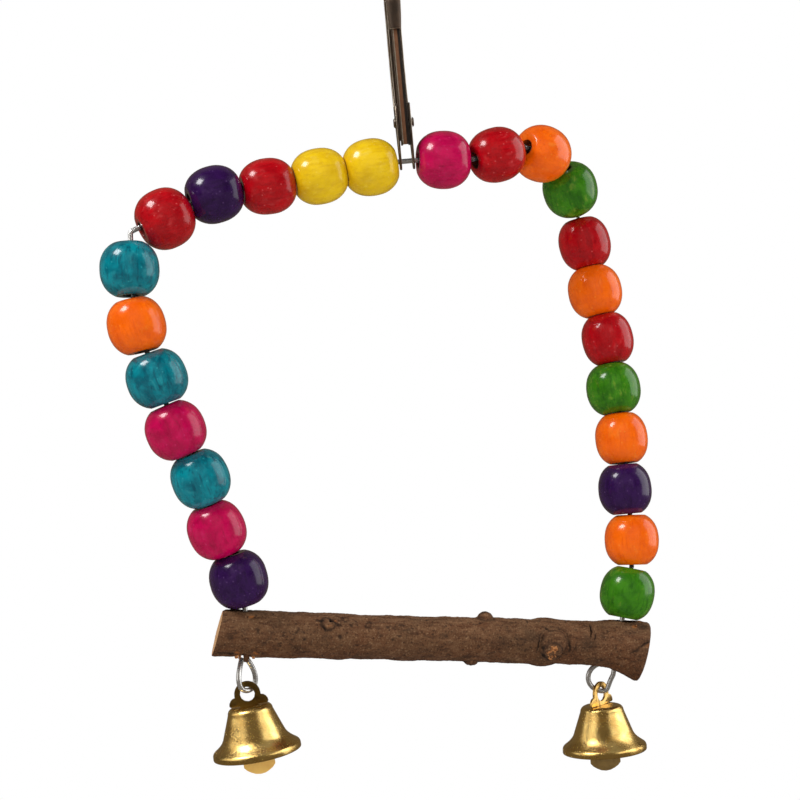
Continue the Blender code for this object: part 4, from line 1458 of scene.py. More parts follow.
@dataclass
class BranchPerch:
    """The branch perch with its bark, sawn ends, loose splinters and cut twig."""

    bench: PieceBench
    sides: int = 144
    stations: int = 360
    cap_rings: tuple[float, ...] = (0.04, 0.10, 0.16, 0.20, 0.20, 0.14)
    furrow: BarkLayer = BarkLayer(0.18, 0.55, 1.0, 5, 0.3)
    furrow_stretch: float = 0.2
    grit: BarkLayer = BarkLayer(0.10, 1.1, 0.8, 4, 0.4)
    lump: float = 0.24
    lump_fineness: float = 0.21
    lump_middle: float = 0.3
    warp: float = 0.45
    warp_fineness: float = 0.6
    end_ease: float = 0.3
    eased_stations: float = 2.0
    swell: float = 0.34
    left_sweep: float = 1.5
    twig_along: float = 107.4
    twig_around: float = -17.5
    twig_radius: float = 2.35
    twig_plug: float = 0.8
    twig_sides: int = 48
    twig_rings: int = 8
    twig_dome: float = 0.30
    twig_sink: float = 0.1
    twig_rough: BarkLayer = BarkLayer(0.35, 0.9, 0.7, 4, 0.0)
    twig_uneven: float = 0.16
    twig_fineness: float = 0.7
    twig_shift: Colour = (4.0, 1.0, 0.0)
    shard_sides: int = 7
    shard_flat: float = 0.3
    shard_rough: float = 0.15
    shard_reach: float = 0.9
    usual_radius: float = 7.0
    trusted: Point = (0.8, 1.9)
    blur: tuple[int, ...] = (1, 2, 3, 4, 3, 2, 1)
    butt_tries: int = 4
    clear: float = 20.0
    plain_spots: Point = (22.0, 98.0)
    end_slices: Point = (4.5, 7.5)
    mark_reach: float = 2.0
    ring_line: float = 0.32
    rim_share: float = 0.08
    skin_share: float = 0.999
    bark_crease: float = 50.0
    twig_crease: float = 60.0
    shard_crease: float = 30.0
    marks: tuple[Mark, ...] = BARK_MARKS
    loose: tuple[Splinter, ...] = LOOSE_BARK
    place: Matrix = field(default_factory=Matrix)
    saw_cuts: list[np.ndarray] = field(default_factory=list)

    def build(self) -> None:
        """Makes the branch, its splinters and the core of its cut twig."""
        self.lie()
        bark, sawn, core = Bark().make(), SawnWood().make(), TwigCore().make()
        shape = self.tube()
        self.lay_bark(shape)
        put(shape, self.place)
        self.bench.add("bark_perch", shape, [bark, sawn], "perch", self.bark_crease)
        face, shards = self.twig_face(), self.splinters()
        self.bench.extra("twig_cut_face", face, [core], "perch", self.twig_crease)
        self.bench.extra("loose_splinters", shards, [core, bark], "perch", self.shard_crease)

    def lie(self) -> None:
        """Finds the branch's own frame, X from its left end and Z up, and its saw cuts."""
        points = self.bench.frame.points("perch", Matrix.Identity(4))
        points = np.unique(points.round(7), axis=0)
        least, most = points[:, 0].min(), points[:, 0].max()
        first, second = (self.middle_at(least + spot * MM) for spot in self.plain_spots)
        along = (second - first).normalized()
        back = Vector((0, 0, 1)).cross(along).normalized()
        turn = Matrix((along, back, along.cross(back))).transposed().to_4x4()
        self.place = Matrix.Translation(first) @ turn @ Matrix.Scale(MM, 4)
        left = points[points[:, 0] < least + self.end_slices[0] * MM]
        right = points[points[:, 0] > most - self.end_slices[1] * MM]
        start = self.saw_plane(left)[0]
        self.place = self.place @ Matrix.Translation((start, 0.0, 0.0))
        self.saw_cuts = [self.saw_plane(left), self.saw_plane(right)]
        self.saw_cuts[0][1] *= self.left_sweep

    def middle_at(self, x: float) -> Vector:
        """Finds the middle of the branch where it is cut across."""
        cut = np.array(self.bench.frame.cut("perch", Vector((x, 0, 0)), Vector((1, 0, 0))))
        return Vector((cut.min(axis=0) + cut.max(axis=0)) / 2)

    def saw_plane(self, ring: np.ndarray) -> np.ndarray:
        """Fits a plane to the points of a sawn end.

        Args:
            ring: The points, in metres.

        Returns:
            The shares of 1, Y and Z that give X on the plane, in the branch's frame.
        """
        inside = self.place.inverted()
        local = np.array([inside @ Vector(point) for point in ring])
        sides = np.column_stack((np.ones(len(local)), local[:, 1], local[:, 2]))
        return np.linalg.lstsq(sides, local[:, 0], rcond=None)[0]

    def ends(self, across: Vector) -> tuple[float, float]:
        """Gives where the branch starts and ends, at a place beside its middle line."""
        beside = np.array((1.0, across.y, across.z))
        return float(self.saw_cuts[0] @ beside), float(self.saw_cuts[1] @ beside)

    def bark_tree(self) -> BVHTree:
        """Readies the branch's solid for ray casts.

        Returns:
            The tree of its faces, in the branch's frame.
        """
        solid = self.bench.frame.solid("perch")
        put(solid, self.place.inverted())
        tree = BVHTree.FromBMesh(solid)
        solid.free()
        return tree

    def reach(self, tree: BVHTree, x: float, out: Vector) -> float:
        """Measures the branch's radius at one place from outside, or 0 where it is missed."""
        hit = tree.ray_cast(Vector((x, 0, 0)) + out * self.clear, -out)[3]
        return self.clear - hit if hit else 0.0

    def radii(self, tree: BVHTree) -> np.ndarray:
        """Measures the branch's radius all over, and mends and smooths what was measured.

        Args:
            tree: The branch's solid for ray casts.

        Returns:
            The radius in millimetres at each station and side.
        """
        table = np.zeros((self.stations + 1, self.sides))
        for k in range(self.sides):
            out = self.outwards(math.tau * k / self.sides)
            butt = self.usual_radius
            for _ in range(self.butt_tries):
                butt = self.reach(tree, self.ends(out * butt)[1] - self.end_ease, out) or butt
            left, right = self.ends(out * self.usual_radius)[0], self.ends(out * butt)[1]
            for i in range(self.stations + 1):
                x = left + (right - left) * i / self.stations
                x = min(max(x, left + self.end_ease), right - self.end_ease)
                table[i, k] = self.reach(tree, x, out)
        back = [(i, i + 1) for i in reversed(range(self.stations))]
        ahead = [(i, i - 1) for i in range(1, self.stations + 1)]
        least, most = (share * self.usual_radius for share in self.trusted)
        for i, beside in back + ahead:
            wrong = (table[i] < least) | (table[i] > most)
            table[i, wrong] = table[beside, wrong]
        smooth = np.zeros_like(table)
        for step, weight in enumerate(self.blur, -(len(self.blur) // 2)):
            smooth += np.roll(table, step, axis=1) * weight / sum(self.blur)
        return smooth

    def outwards(self, angle: float) -> Vector:
        """Gives the direction out of the branch at an angle from its front, towards its top."""
        return Vector((0.0, -math.cos(angle), math.sin(angle)))

    def tube(self) -> Shape:
        """Makes a unit tube with closed, finely ringed ends.

        Returns:
            The tube, with its ends as its second finish.
        """
        shape = bmesh.new()
        bmesh.ops.create_circle(shape, cap_ends=False, segments=self.sides, radius=1.0)
        bmesh.ops.spin(
            shape,
            geom=[*shape.verts, *shape.edges],
            cent=(0, 0, 0),
            axis=(0, 0, 1),
            angle=0.0,
            steps=self.stations,
            dvec=(0, 0, 1.0 / self.stations),
        )
        bmesh.ops.remove_doubles(shape, verts=shape.verts, dist=MERGE_M)
        rims = [edge for edge in shape.edges if edge.is_boundary]
        caps = bmesh.ops.holes_fill(shape, edges=rims, sides=0)["faces"]
        for cap in caps:
            cap.material_index = 1
        bmesh.ops.recalc_face_normals(shape, faces=shape.faces)
        for share in self.cap_rings:
            bmesh.ops.inset_individual(shape, faces=caps, thickness=share)
        return shape

    def lay_bark(self, shape: Shape) -> None:
        """Moves the unit tube onto the branch and works its bark and ends.

        Args:
            shape: The unit tube, which ends up in the branch's frame.
        """
        table = self.radii(self.bark_tree())
        crown = shape.verts.layers.float.new("crown")
        dark = shape.verts.layers.float.new("dark")
        torn = shape.verts.layers.float.new("torn")
        pith = shape.verts.layers.float.new("from_pith")
        for vertex in shape.verts:
            angle = math.atan2(vertex.co.y, vertex.co.x)
            k = round(angle / math.tau * self.sides) % self.sides
            i = min(max(round(vertex.co.z * self.stations), 0), self.stations)
            share = min(vertex.co.xy.length, 1.0)
            out = self.outwards(angle)
            left = self.ends(out * share * table[0, k])[0]
            right = self.ends(out * share * table[-1, k])[1]
            x = left + (right - left) * vertex.co.z
            radius = share * table[i, k]
            rise, shade, bare = self.relief(x, angle, table[i, k])
            if share > self.skin_share:
                ease = max(0.0, 1.0 - min(i, self.stations - i) / self.eased_stations)
                radius += rise - self.end_ease * ease
            # How high up round the branch, which lightens the bark's top as a painted highlight
            vertex[crown] = 0.5 + 0.5 * math.sin(angle)
            rim = max(0.0, 1.0 - (1.0 - share) / self.rim_share)
            vertex[dark] = shade * rim
            vertex[torn] = bare * rim
            vertex[pith] = share
            vertex.co = Vector((x, 0, 0)) + out * radius

    def relief(self, x: float, angle: float, radius: float) -> tuple[float, float, float]:
        """Works out the bark at one place.

        Args:
            x: Millimetres along the branch.
            angle: Angle from the front, towards the top.
            radius: Radius of the branch there.

        Returns:
            How far the bark stands out, how dark it is and how bare of bark.
        """
        spot = Vector((x, -math.cos(angle) * radius, math.sin(angle) * radius))
        drawn = Vector((spot.x * self.furrow_stretch, spot.y, spot.z))
        rise = self.swell + self.furrow.at(drawn)
        rise += self.lump * (noise.noise(spot * self.lump_fineness) - self.lump_middle)
        rise += self.grit.at(spot)
        stray = noise.noise_vector(spot * self.warp_fineness) * self.warp
        shade, bare = 0.0, 0.0
        for mark in self.marks:
            aside = x + stray.x - mark.along
            if abs(aside) > self.mark_reach * max(mark.length, mark.breadth):
                continue
            round_off = (angle - math.radians(mark.around) + math.pi) % math.tau - math.pi
            weight = self.weight(mark, aside, round_off * radius + stray.z)
            rise += mark.height * weight
            shade += mark.share * weight if mark.kind in (DARK, RING) else 0.0
            bare += mark.share * weight if mark.kind is TORN else 0.0
        return rise, min(shade, 1.0), min(bare, 1.0)

    def weight(self, mark: Mark, aside: float, across: float) -> float:
        """Weighs a mark at a place beside its middle.

        Args:
            mark: The mark.
            aside: Millimetres along the branch from the mark's middle.
            across: Millimetres round the branch from the mark's middle.

        Returns:
            How strongly it shows, from 0 to 1.
        """
        turn = math.radians(mark.turn)
        u = (aside * math.cos(turn) + across * math.sin(turn)) / mark.length
        v = (across * math.cos(turn) - aside * math.sin(turn)) / mark.breadth
        reach = u * u + v * v
        if mark.kind is RING:
            off = (math.sqrt(reach) - 1.0) * min(mark.length, mark.breadth)
            return math.exp(-((off / self.ring_line) ** 2))
        return math.exp(-reach * reach)

    def twig_face(self) -> Shape:
        """Makes the rough cut face of the side twig.

        Returns:
            The face as a closed plug, in metres.
        """
        out = self.outwards(math.radians(self.twig_around))
        reach = self.reach(self.bark_tree(), self.twig_along, out)
        shape = bmesh.new()
        bmesh.ops.create_circle(
            shape, cap_ends=True, segments=self.twig_sides, radius=self.twig_radius
        )
        face = list(shape.faces)
        for _ in range(self.twig_rings):
            step = self.twig_radius / (self.twig_rings + 1)
            bmesh.ops.inset_individual(shape, faces=face, thickness=step)
        shift = Vector(self.twig_shift)
        for vertex in shape.verts:
            share = vertex.co.xy.length / self.twig_radius
            rough = self.twig_rough.at(vertex.co)
            vertex.co.z = self.twig_dome * (1 - share**4) + rough * (1 - share**6) - self.twig_sink
            bump = noise.noise(vertex.co * self.twig_fineness + shift)
            vertex.co.xy *= 1 + self.twig_uneven * bump
        under = bmesh.ops.extrude_face_region(shape, geom=list(shape.faces))["geom"]
        under = [item for item in under if isinstance(item, bmesh.types.BMVert)]
        bmesh.ops.translate(shape, vec=(0, 0, -self.twig_plug), verts=under)
        bmesh.ops.recalc_face_normals(shape, faces=shape.faces)
        spot = Matrix.Translation(Vector((self.twig_along, 0, 0)) + out * reach)
        put(shape, self.place @ spot @ aimed(out))
        return shape

    def splinters(self) -> Shape:
        """Makes the loose shards at the wire's holes.

        Returns:
            The shards, in metres, with those of bark in their second finish.
        """
        tree = self.bark_tree()
        shape = bmesh.new()
        for shard in self.loose:
            out = self.outwards(math.radians(shard.around))
            reach = self.reach(tree, shard.along, out)
            reach = max(reach, self.usual_radius * self.shard_reach)
            made = bmesh.ops.create_cone(
                shape,
                cap_ends=True,
                segments=self.shard_sides,
                radius1=shard.width / 2,
                radius2=shard.width / 4,
                depth=shard.length,
            )["verts"]
            flat = Matrix.Diagonal((1.0, self.shard_flat, 1.0, 1.0))
            lean = Matrix.Rotation(math.radians(90.0 - shard.lean), 4, "X")
            turn = Matrix.Rotation(math.radians(shard.turn), 4, "Z")
            spot = Matrix.Translation(Vector((shard.along, 0, 0)) + out * reach)
            place = self.place @ spot @ aimed(out) @ turn @ lean @ flat
            shift = Vector((shard.along, 0, 0))
            for vertex in made:
                vertex.co += noise.noise_vector(vertex.co + shift) * self.shard_rough
            bmesh.ops.transform(shape, matrix=place, verts=made)
            if not shard.bare:
                for face in {face for vertex in made for face in vertex.link_faces}:
                    face.material_index = 1
        bmesh.ops.recalc_face_normals(shape, faces=shape.faces)
        return shape


@dataclass(frozen=True)
class Scuff:
    """A scratched place on a bell: degrees from the hanger's face, depth and half sizes."""

    turn: float
    depth: float
    breadth: float
    height: float
    share: float = 1.0


LEFT_SCUFFS = (
    Scuff(-40.0, 6.4, 3.0, 2.6),
    Scuff(-52.0, 13.2, 4.0, 1.2, 0.7),
    Scuff(-20.0, 9.5, 3.0, 2.0, 0.4),
)
RIGHT_SCUFFS = (
    Scuff(8.0, 13.4, 4.0, 1.6),
    Scuff(-112.0, 12.2, 4.0, 1.6, 0.6),
    Scuff(-50.0, 8.5, 5.0, 2.5, 0.35),
)


@dataclass
class CageBell:
    """One small bell: spun shell, stamped hanger, wire link and flat clapper."""

    bench: PieceBench
    side: str
    shell_finish: Finish
    hanger_finishes: list[Finish]
    clapper_finishes: list[Finish]
    link_finish: Finish
    scuffs: tuple[Scuff, ...]
    segments: int = 128
    crown_radius: float = 6.6
    shoulder: float = 1.8
    shoulder_spread: float = 0.5
    cone_share: float = 0.6
    cone_spread: float = 2.6
    lip_radius: float = 1.4
    lip_start: float = 50.0
    lip_drop: float = 1.2
    wall: float = 0.7
    wall_steps: int = 14
    arc_steps: int = 8
    rim_edge: float = 0.33
    rim_steps: int = 4
    crown_share: float = 0.5
    dent: float = 0.10
    dent_fineness: float = 0.16
    dent_middle: float = 0.5
    pole_radius: float = 0.5
    slot_half_width: float = 3.05
    slot_half_depth: float = 0.65
    slot_reach: float = 1.0
    lobe_start: float = 4.0
    lobe_foot: float = 0.7
    lobe_rise: float = 1.7
    lobe_lift: float = 0.45
    hanger_edge: float = 0.14
    clapper_edge: float = 0.16
    link_steps: int = 48
    link_sides: int = 12
    shell_crease: float = 40.0
    sheet_crease: float = 30.0
    link_crease: float = 60.0

    def build(self) -> None:
        """Makes the bell's four pieces."""
        side, place = self.side, self.axis_frame()
        shell, hanger = self.shell(place), self.hanger(place)
        clapper = eased(self.bench.frame.solid(f"{side}_clapper"), self.clapper_edge)
        link = self.ring(f"{side}_clapper_link")
        sheet = self.sheet_crease
        rows = (
            ("spun_bell", shell, [self.shell_finish], "bell_shell", self.shell_crease),
            ("stamped_hanger", hanger, self.hanger_finishes, "bell_hanger", sheet),
            ("flat_clapper", clapper, self.clapper_finishes, "clapper", sheet),
            ("wire_link", link, [self.link_finish], "clapper_link", self.link_crease),
        )
        for name, shape, finishes, node, crease in rows:
            self.bench.add(f"{side}_{name}", shape, finishes, f"{side}_{node}", crease)

    def axis_frame(self) -> Matrix:
        """Finds the bell's own frame.

        Returns:
            The frame in millimetres, with Z up the bell's axis and X along its hanger's sheet.
        """
        high, _ = self.bench.frame.hinge(f"{self.side}_link")
        low, _ = self.bench.frame.hinge(f"{self.side}_clapper")
        place = standing(high, high - low)
        points = self.bench.frame.points(f"{self.side}_bell_hanger", place)
        flat = points[:, :2] - points[:, :2].mean(axis=0)
        wide = np.linalg.svd(flat)[2][0]
        along = place.to_3x3() @ Vector((wide[0], wide[1], 0.0))
        turn = math.atan2(wide[1], wide[0]) + (math.pi if along.x < 0 else 0.0)
        return place @ Matrix.Rotation(turn, 4, "Z")

    def hanger(self, place: Matrix) -> Shape:
        """Copies the hanger's sheet, rounds its lobes up and eases its edges.

        Args:
            place: The bell's own frame.

        Returns:
            The hanger, in metres.
        """
        crown = self.bench.frame.points(f"{self.side}_bell_shell", place)[:, 2].max()
        shape = self.bench.frame.solid(f"{self.side}_bell_hanger")
        inside = place.inverted()
        for vertex in shape.verts:
            spot = inside @ vertex.co
            rise = spot.z - crown - self.lobe_foot
            if abs(spot.x) > self.lobe_start and 0.0 < rise < self.lobe_rise:
                spot.z += rise * self.lobe_lift
                vertex.co = place @ spot
        return eased(shape, self.hanger_edge)

    def wall_line(self, mouth: float, height: float) -> list[Point]:
        """Gives radius and depth below the crown along the wall: cone, flare and rolled lip.

        Args:
            mouth: Radius of the mouth.
            height: Height of the bell from crown to rim.

        Returns:
            The points from the shoulder to the rim's edge.
        """
        top = self.crown_radius + self.shoulder_spread
        cone_foot = height * self.cone_share
        slope = self.cone_spread / (cone_foot - self.shoulder)
        centre = (mouth - self.lip_radius, height - self.lip_drop)
        lip = arc(centre, self.lip_radius, -self.lip_start, 0.0, self.arc_steps)
        lip_radius, lip_top = lip[0]
        flare = lip_radius - top - slope * (lip_top - self.shoulder)
        wall = []
        for i in range(self.wall_steps):
            depth = self.shoulder + (lip_top - self.shoulder) * i / self.wall_steps
            share = max(0.0, depth - cone_foot) / (lip_top - cone_foot)
            wall.append((top + slope * (depth - self.shoulder) + flare * share**2, depth))
        edge = self.rim_edge
        rim = arc((mouth - edge, height - edge), edge, 0.0, 90.0, self.rim_steps)
        return wall + lip + rim

    def shell(self, place: Matrix) -> Shape:
        """Spins the shell with its shoulder, flare and rolled lip, and cuts its slot.

        Args:
            place: The bell's own frame.

        Returns:
            The shell, in metres.
        """
        points = self.bench.frame.points(f"{self.side}_bell_shell", place)
        mouth = np.hypot(points[:, 0], points[:, 1]).max()
        crown, rim = points[:, 2].max(), points[:, 2].min()
        top = self.crown_radius + self.shoulder_spread
        centre = (top - self.shoulder, crown - self.shoulder)
        outer = arc(centre, self.shoulder, 90.0, 0.0, self.arc_steps)[:-1]
        inner = arc(centre, self.shoulder - self.wall, 90.0, 0.0, self.arc_steps)[:-1]
        line = self.wall_line(mouth, crown - rim)
        outer += [(radius, crown - depth) for radius, depth in line]
        rounded = crown - rim - self.rim_edge
        inside = [(radius, depth) for radius, depth in line if depth < rounded]
        inner += [(radius - self.wall, crown - depth) for radius, depth in inside]
        flat_out = (centre[0] * self.crown_share, crown)
        flat_in = (centre[0] * self.crown_share, crown - self.wall)
        profile = [(0.0, crown), flat_out, *outer, *inner[::-1], flat_in]
        shape = turned([*profile, (0.0, crown - self.wall)], self.segments, False)
        self.wear(shape, crown, mouth)
        self.cut_slot(shape, crown)
        put(shape, place)
        return shape

    def wear(self, shape: Shape, crown: float, mouth: float) -> None:
        """Dents the shell slightly and stores where it is scuffed.

        Args:
            shape: The shell in its own frame.
            crown: Height of its crown.
            mouth: Radius of its mouth.
        """
        scuff = shape.verts.layers.float.new("scuff")
        for vertex in shape.verts:
            out = Vector((vertex.co.x, vertex.co.y, 0.0))
            if out.length < self.pole_radius:
                continue
            bearing = math.degrees(math.atan2(out.x, -out.y))
            for place in self.scuffs:
                aside = (bearing - place.turn + 180.0) % 360.0 - 180.0
                u = math.radians(aside) * out.length / place.breadth
                v = (crown - vertex.co.z - place.depth) / place.height
                vertex[scuff] += place.share * math.exp(-((u * u + v * v) ** 2))
            shift = Vector((mouth, 0.0, crown))
            swell = noise.noise(vertex.co * self.dent_fineness + shift) - self.dent_middle
            vertex.co += out.normalized() * self.dent * swell

    def cut_slot(self, shape: Shape, crown: float) -> None:
        """Cuts the hanger's slot through the crown and closes its edge.

        Args:
            shape: The shell in its own frame.
            crown: Height of its crown.
        """
        wide, deep = self.slot_half_width, self.slot_half_depth
        under = crown - self.slot_reach
        cuts = ((wide, 0.0, 1.0), (-wide, 0.0, 1.0), (deep, 1.0, 0.0), (-deep, 1.0, 0.0))
        for offset, flip, straight in cuts:
            normal = Vector((straight, flip, 0.0))
            top = [face for face in shape.faces if face.calc_center_median().z > under]
            parts = {part for face in top for part in (face, *face.edges, *face.verts)}
            bmesh.ops.bisect_plane(
                shape, geom=list(parts), plane_co=normal * offset, plane_no=normal
            )
        gone = []
        for face in shape.faces:
            middle = face.calc_center_median()
            inside = abs(middle.x) < wide and abs(middle.y) < deep
            if inside and middle.z > under:
                gone.append(face)
        bmesh.ops.delete(shape, geom=gone, context="FACES")
        rims = [edge for edge in shape.edges if edge.is_boundary]
        bmesh.ops.bridge_loops(shape, edges=rims)

    def ring(self, node: str) -> Shape:
        """Makes a wire ring where a link's solid lies.

        Args:
            node: The solid's name.

        Returns:
            The ring, in metres.
        """
        points = self.bench.frame.points(node, Matrix.Identity(4))
        middle = points.mean(axis=0)
        normal = Vector(np.linalg.svd(points - middle)[2][2])
        place = standing(Vector(middle), normal)
        flat = self.bench.frame.points(node, place)
        across = np.hypot(flat[:, 0], flat[:, 1])
        wire = (across.max() - across.min()) / 2
        centre = ((across.max() + across.min()) / 2, 0.0)
        section = arc(centre, wire, 0.0, 360.0, self.link_sides)[:-1]
        shape = turned(section, self.link_steps, True)
        put(shape, place)
        return shape


@dataclass(frozen=True)
class HookNose:
    """The hook's nose: its directions, and its half width, front, foot, depth and slack."""

    across: Vector
    up: Vector
    back: Vector
    wide: float
    front: float
    foot: float
    depth: float
    slack: float

    def holds(self, place: Vector) -> bool:
        """Tells whether a place belongs to the nose."""
        high = place.dot(self.up) > self.foot - self.slack
        return high and place.dot(self.back) < self.front + self.depth


@dataclass
class SnapClip:
    """The pressed snap clip with its gate, rivet and leaf spring."""

    bench: PieceBench
    body_edge: float = 0.16
    gate_edge: float = 0.16
    # Across the gate: dark bronze, a bright band of painted highlight, brown, and black painted
    # shade
    gate_bands: tuple[float, float, float] = (0.16, 0.27, 0.64)
    nose_limit: float = -20.0
    nose_wall: float = 0.7
    nose_depth: float = 3.2
    nose_row: float = 0.9
    nose_rows: int = 13
    nose_columns: tuple[float, ...] = (-0.9, -0.75, -0.5, -0.25, 0.0, 0.25, 0.5, 0.75, 0.9)
    nose_slack: float = 0.5
    nose_waist: float = 0.25
    nose_inner_share: float = 0.6
    nose_front_share: float = 1.1
    nose_crown: float = 1.1
    nose_crown_power: int = 3
    nose_merge: float = 0.02
    rivet_edge: float = 0.10
    spring_edge: float = 0.05
    crease: float = 35.0

    def build(self) -> None:
        """Makes the clip's four pieces."""
        frame = self.bench.frame
        dark, worn, black = BRONZED.make(), WORN_AND_LIT_EDGE.make(), SHADED_FLANK.make()
        brown, spring = COPPERED.make(), SPRING_STEEL.make()
        body = eased(frame.solid("clip_body"), self.body_edge)
        self.round_nose(body)
        rivet = eased(frame.solid("gate_rivet"), self.rivet_edge)
        leaf = eased(frame.solid("gate_spring"), self.spring_edge)
        rows = (
            ("pressed_clip", body, [dark, worn], "clip_body"),
            # The gate's black band is painted shade, and its worn band is partly a painted
            # highlight
            ("sprung_gate", self.gate(), [dark, worn, brown, black], "clip_gate"),
            ("domed_rivet", rivet, [dark, worn], "gate_rivet"),
            ("leaf_spring", leaf, [spring, spring], "gate_spring"),
        )
        for name, shape, finishes, node in rows:
            self.bench.add(name, shape, finishes, node, self.crease)

    def find_nose(self, shape: Shape) -> HookNose:
        """Measures the hook's nose, which is what the front shows of the clip.

        Args:
            shape: The clip's body, in metres.

        Returns:
            The nose, in metres.
        """
        across = self.bench.frame.hinge("gate")[1].copy()
        across *= math.copysign(1.0, across.x)
        up = (Vector((0, 0, 1)) - across * across.z).normalized()
        back = up.cross(across)
        places = [vertex.co for vertex in shape.verts if vertex.co.dot(up) > self.nose_limit * MM]
        wide = max(abs(place.dot(across)) for place in places)
        front = min(place.dot(back) for place in places)
        wall = front + self.nose_wall * MM
        foot = min(place.dot(up) for place in places if place.dot(back) < wall)
        depth, slack = self.nose_depth * MM, self.nose_slack * MM
        return HookNose(across, up, back, wide, front, foot, depth, slack)

    def cut_nose(self, shape: Shape, nose: HookNose) -> None:
        """Cuts the nose into columns and rows, so that it can be rounded.

        Args:
            shape: The clip's body, in metres.
            nose: Its nose.
        """
        cuts = [(nose.across, nose.wide * share) for share in self.nose_columns]
        for row in range(1, self.nose_rows):
            cuts.append((nose.up, nose.foot + row * self.nose_row * MM))
        for normal, reach in cuts:
            faces = [face for face in shape.faces if nose.holds(face.calc_center_median())]
            edges = {edge for face in faces for edge in face.edges}
            corners = {vertex for face in faces for vertex in face.verts}
            bmesh.ops.bisect_plane(
                shape, geom=[*faces, *edges, *corners], plane_co=normal * reach, plane_no=normal
            )

    def round_nose(self, shape: Shape) -> None:
        """Crowns and tapers the hook's nose.

        Args:
            shape: The clip's body, in metres.
        """
        nose = self.find_nose(shape)
        self.cut_nose(shape, nose)
        wide, tall = nose.wide, self.nose_row * self.nose_rows * MM
        inner = wide - self.nose_wall * MM
        face = nose.front + self.nose_front_share * self.nose_wall * MM
        for vertex in shape.verts:
            place = vertex.co.copy()
            if not nose.holds(place):
                continue
            off = place.dot(nose.across)
            high = min((place.dot(nose.up) - nose.foot) / tall, 1.0)
            waist = (1.0 - max(high, 0.0)) ** 2
            kept = inner * (1.0 - self.nose_waist * self.nose_inner_share * waist)
            rim = wide * (1.0 - self.nose_waist * waist)
            past = max(abs(off) - inner, 0.0) / (wide - inner)
            new = min(abs(off), inner) / inner * kept + past * (rim - kept)
            vertex.co += nose.across * (math.copysign(new, off) - off)
            if place.dot(nose.back) < face:
                crown = self.nose_crown * MM * abs(off / wide) ** self.nose_crown_power
                vertex.co += nose.back * crown
        bmesh.ops.dissolve_degenerate(shape, dist=self.nose_merge * MM, edges=shape.edges)

    def gate(self) -> Shape:
        """Copies the gate and parts it across into bands: dark bronze, a bright band of worn edge
        and painted highlight on the lit fold, brown, and black painted shade on the flank turned
        from the light.

        Returns:
            The gate, in metres.
        """
        shape = eased(self.bench.frame.solid("clip_gate"), self.gate_edge)
        middle, axis = self.bench.frame.hinge("gate")
        across = -axis if axis.x < 0 else axis
        reach = [(vertex.co - middle).dot(across) for vertex in shape.verts]
        start, width = min(reach), max(reach) - min(reach)
        for share in self.gate_bands:
            parts = [*shape.verts, *shape.edges, *shape.faces]
            spot = middle + across * (start + width * share)
            bmesh.ops.bisect_plane(shape, geom=parts, plane_co=spot, plane_no=across)
        for face in shape.faces:
            share = ((face.calc_center_median() - middle).dot(across) - start) / width
            if face.material_index == 0:
                face.material_index = sum(share > band for band in self.gate_bands)
        return shape


@dataclass(frozen=True)
class Panel:
    """What hangs round the swing: bearing from the camera's side, rise, distance and size."""

    name: str
    turn: float
    rise: float
    distance: float
    size: Point


@dataclass(frozen=True)
class Lamp(Panel):
    """A soft lamp with its power, and whether metal mirrors it."""

    watts: float
    mirrored: bool = True


@dataclass(frozen=True)
class Card(Panel):
    """A pale card that only reflections show, with its brightness."""

    glow: float


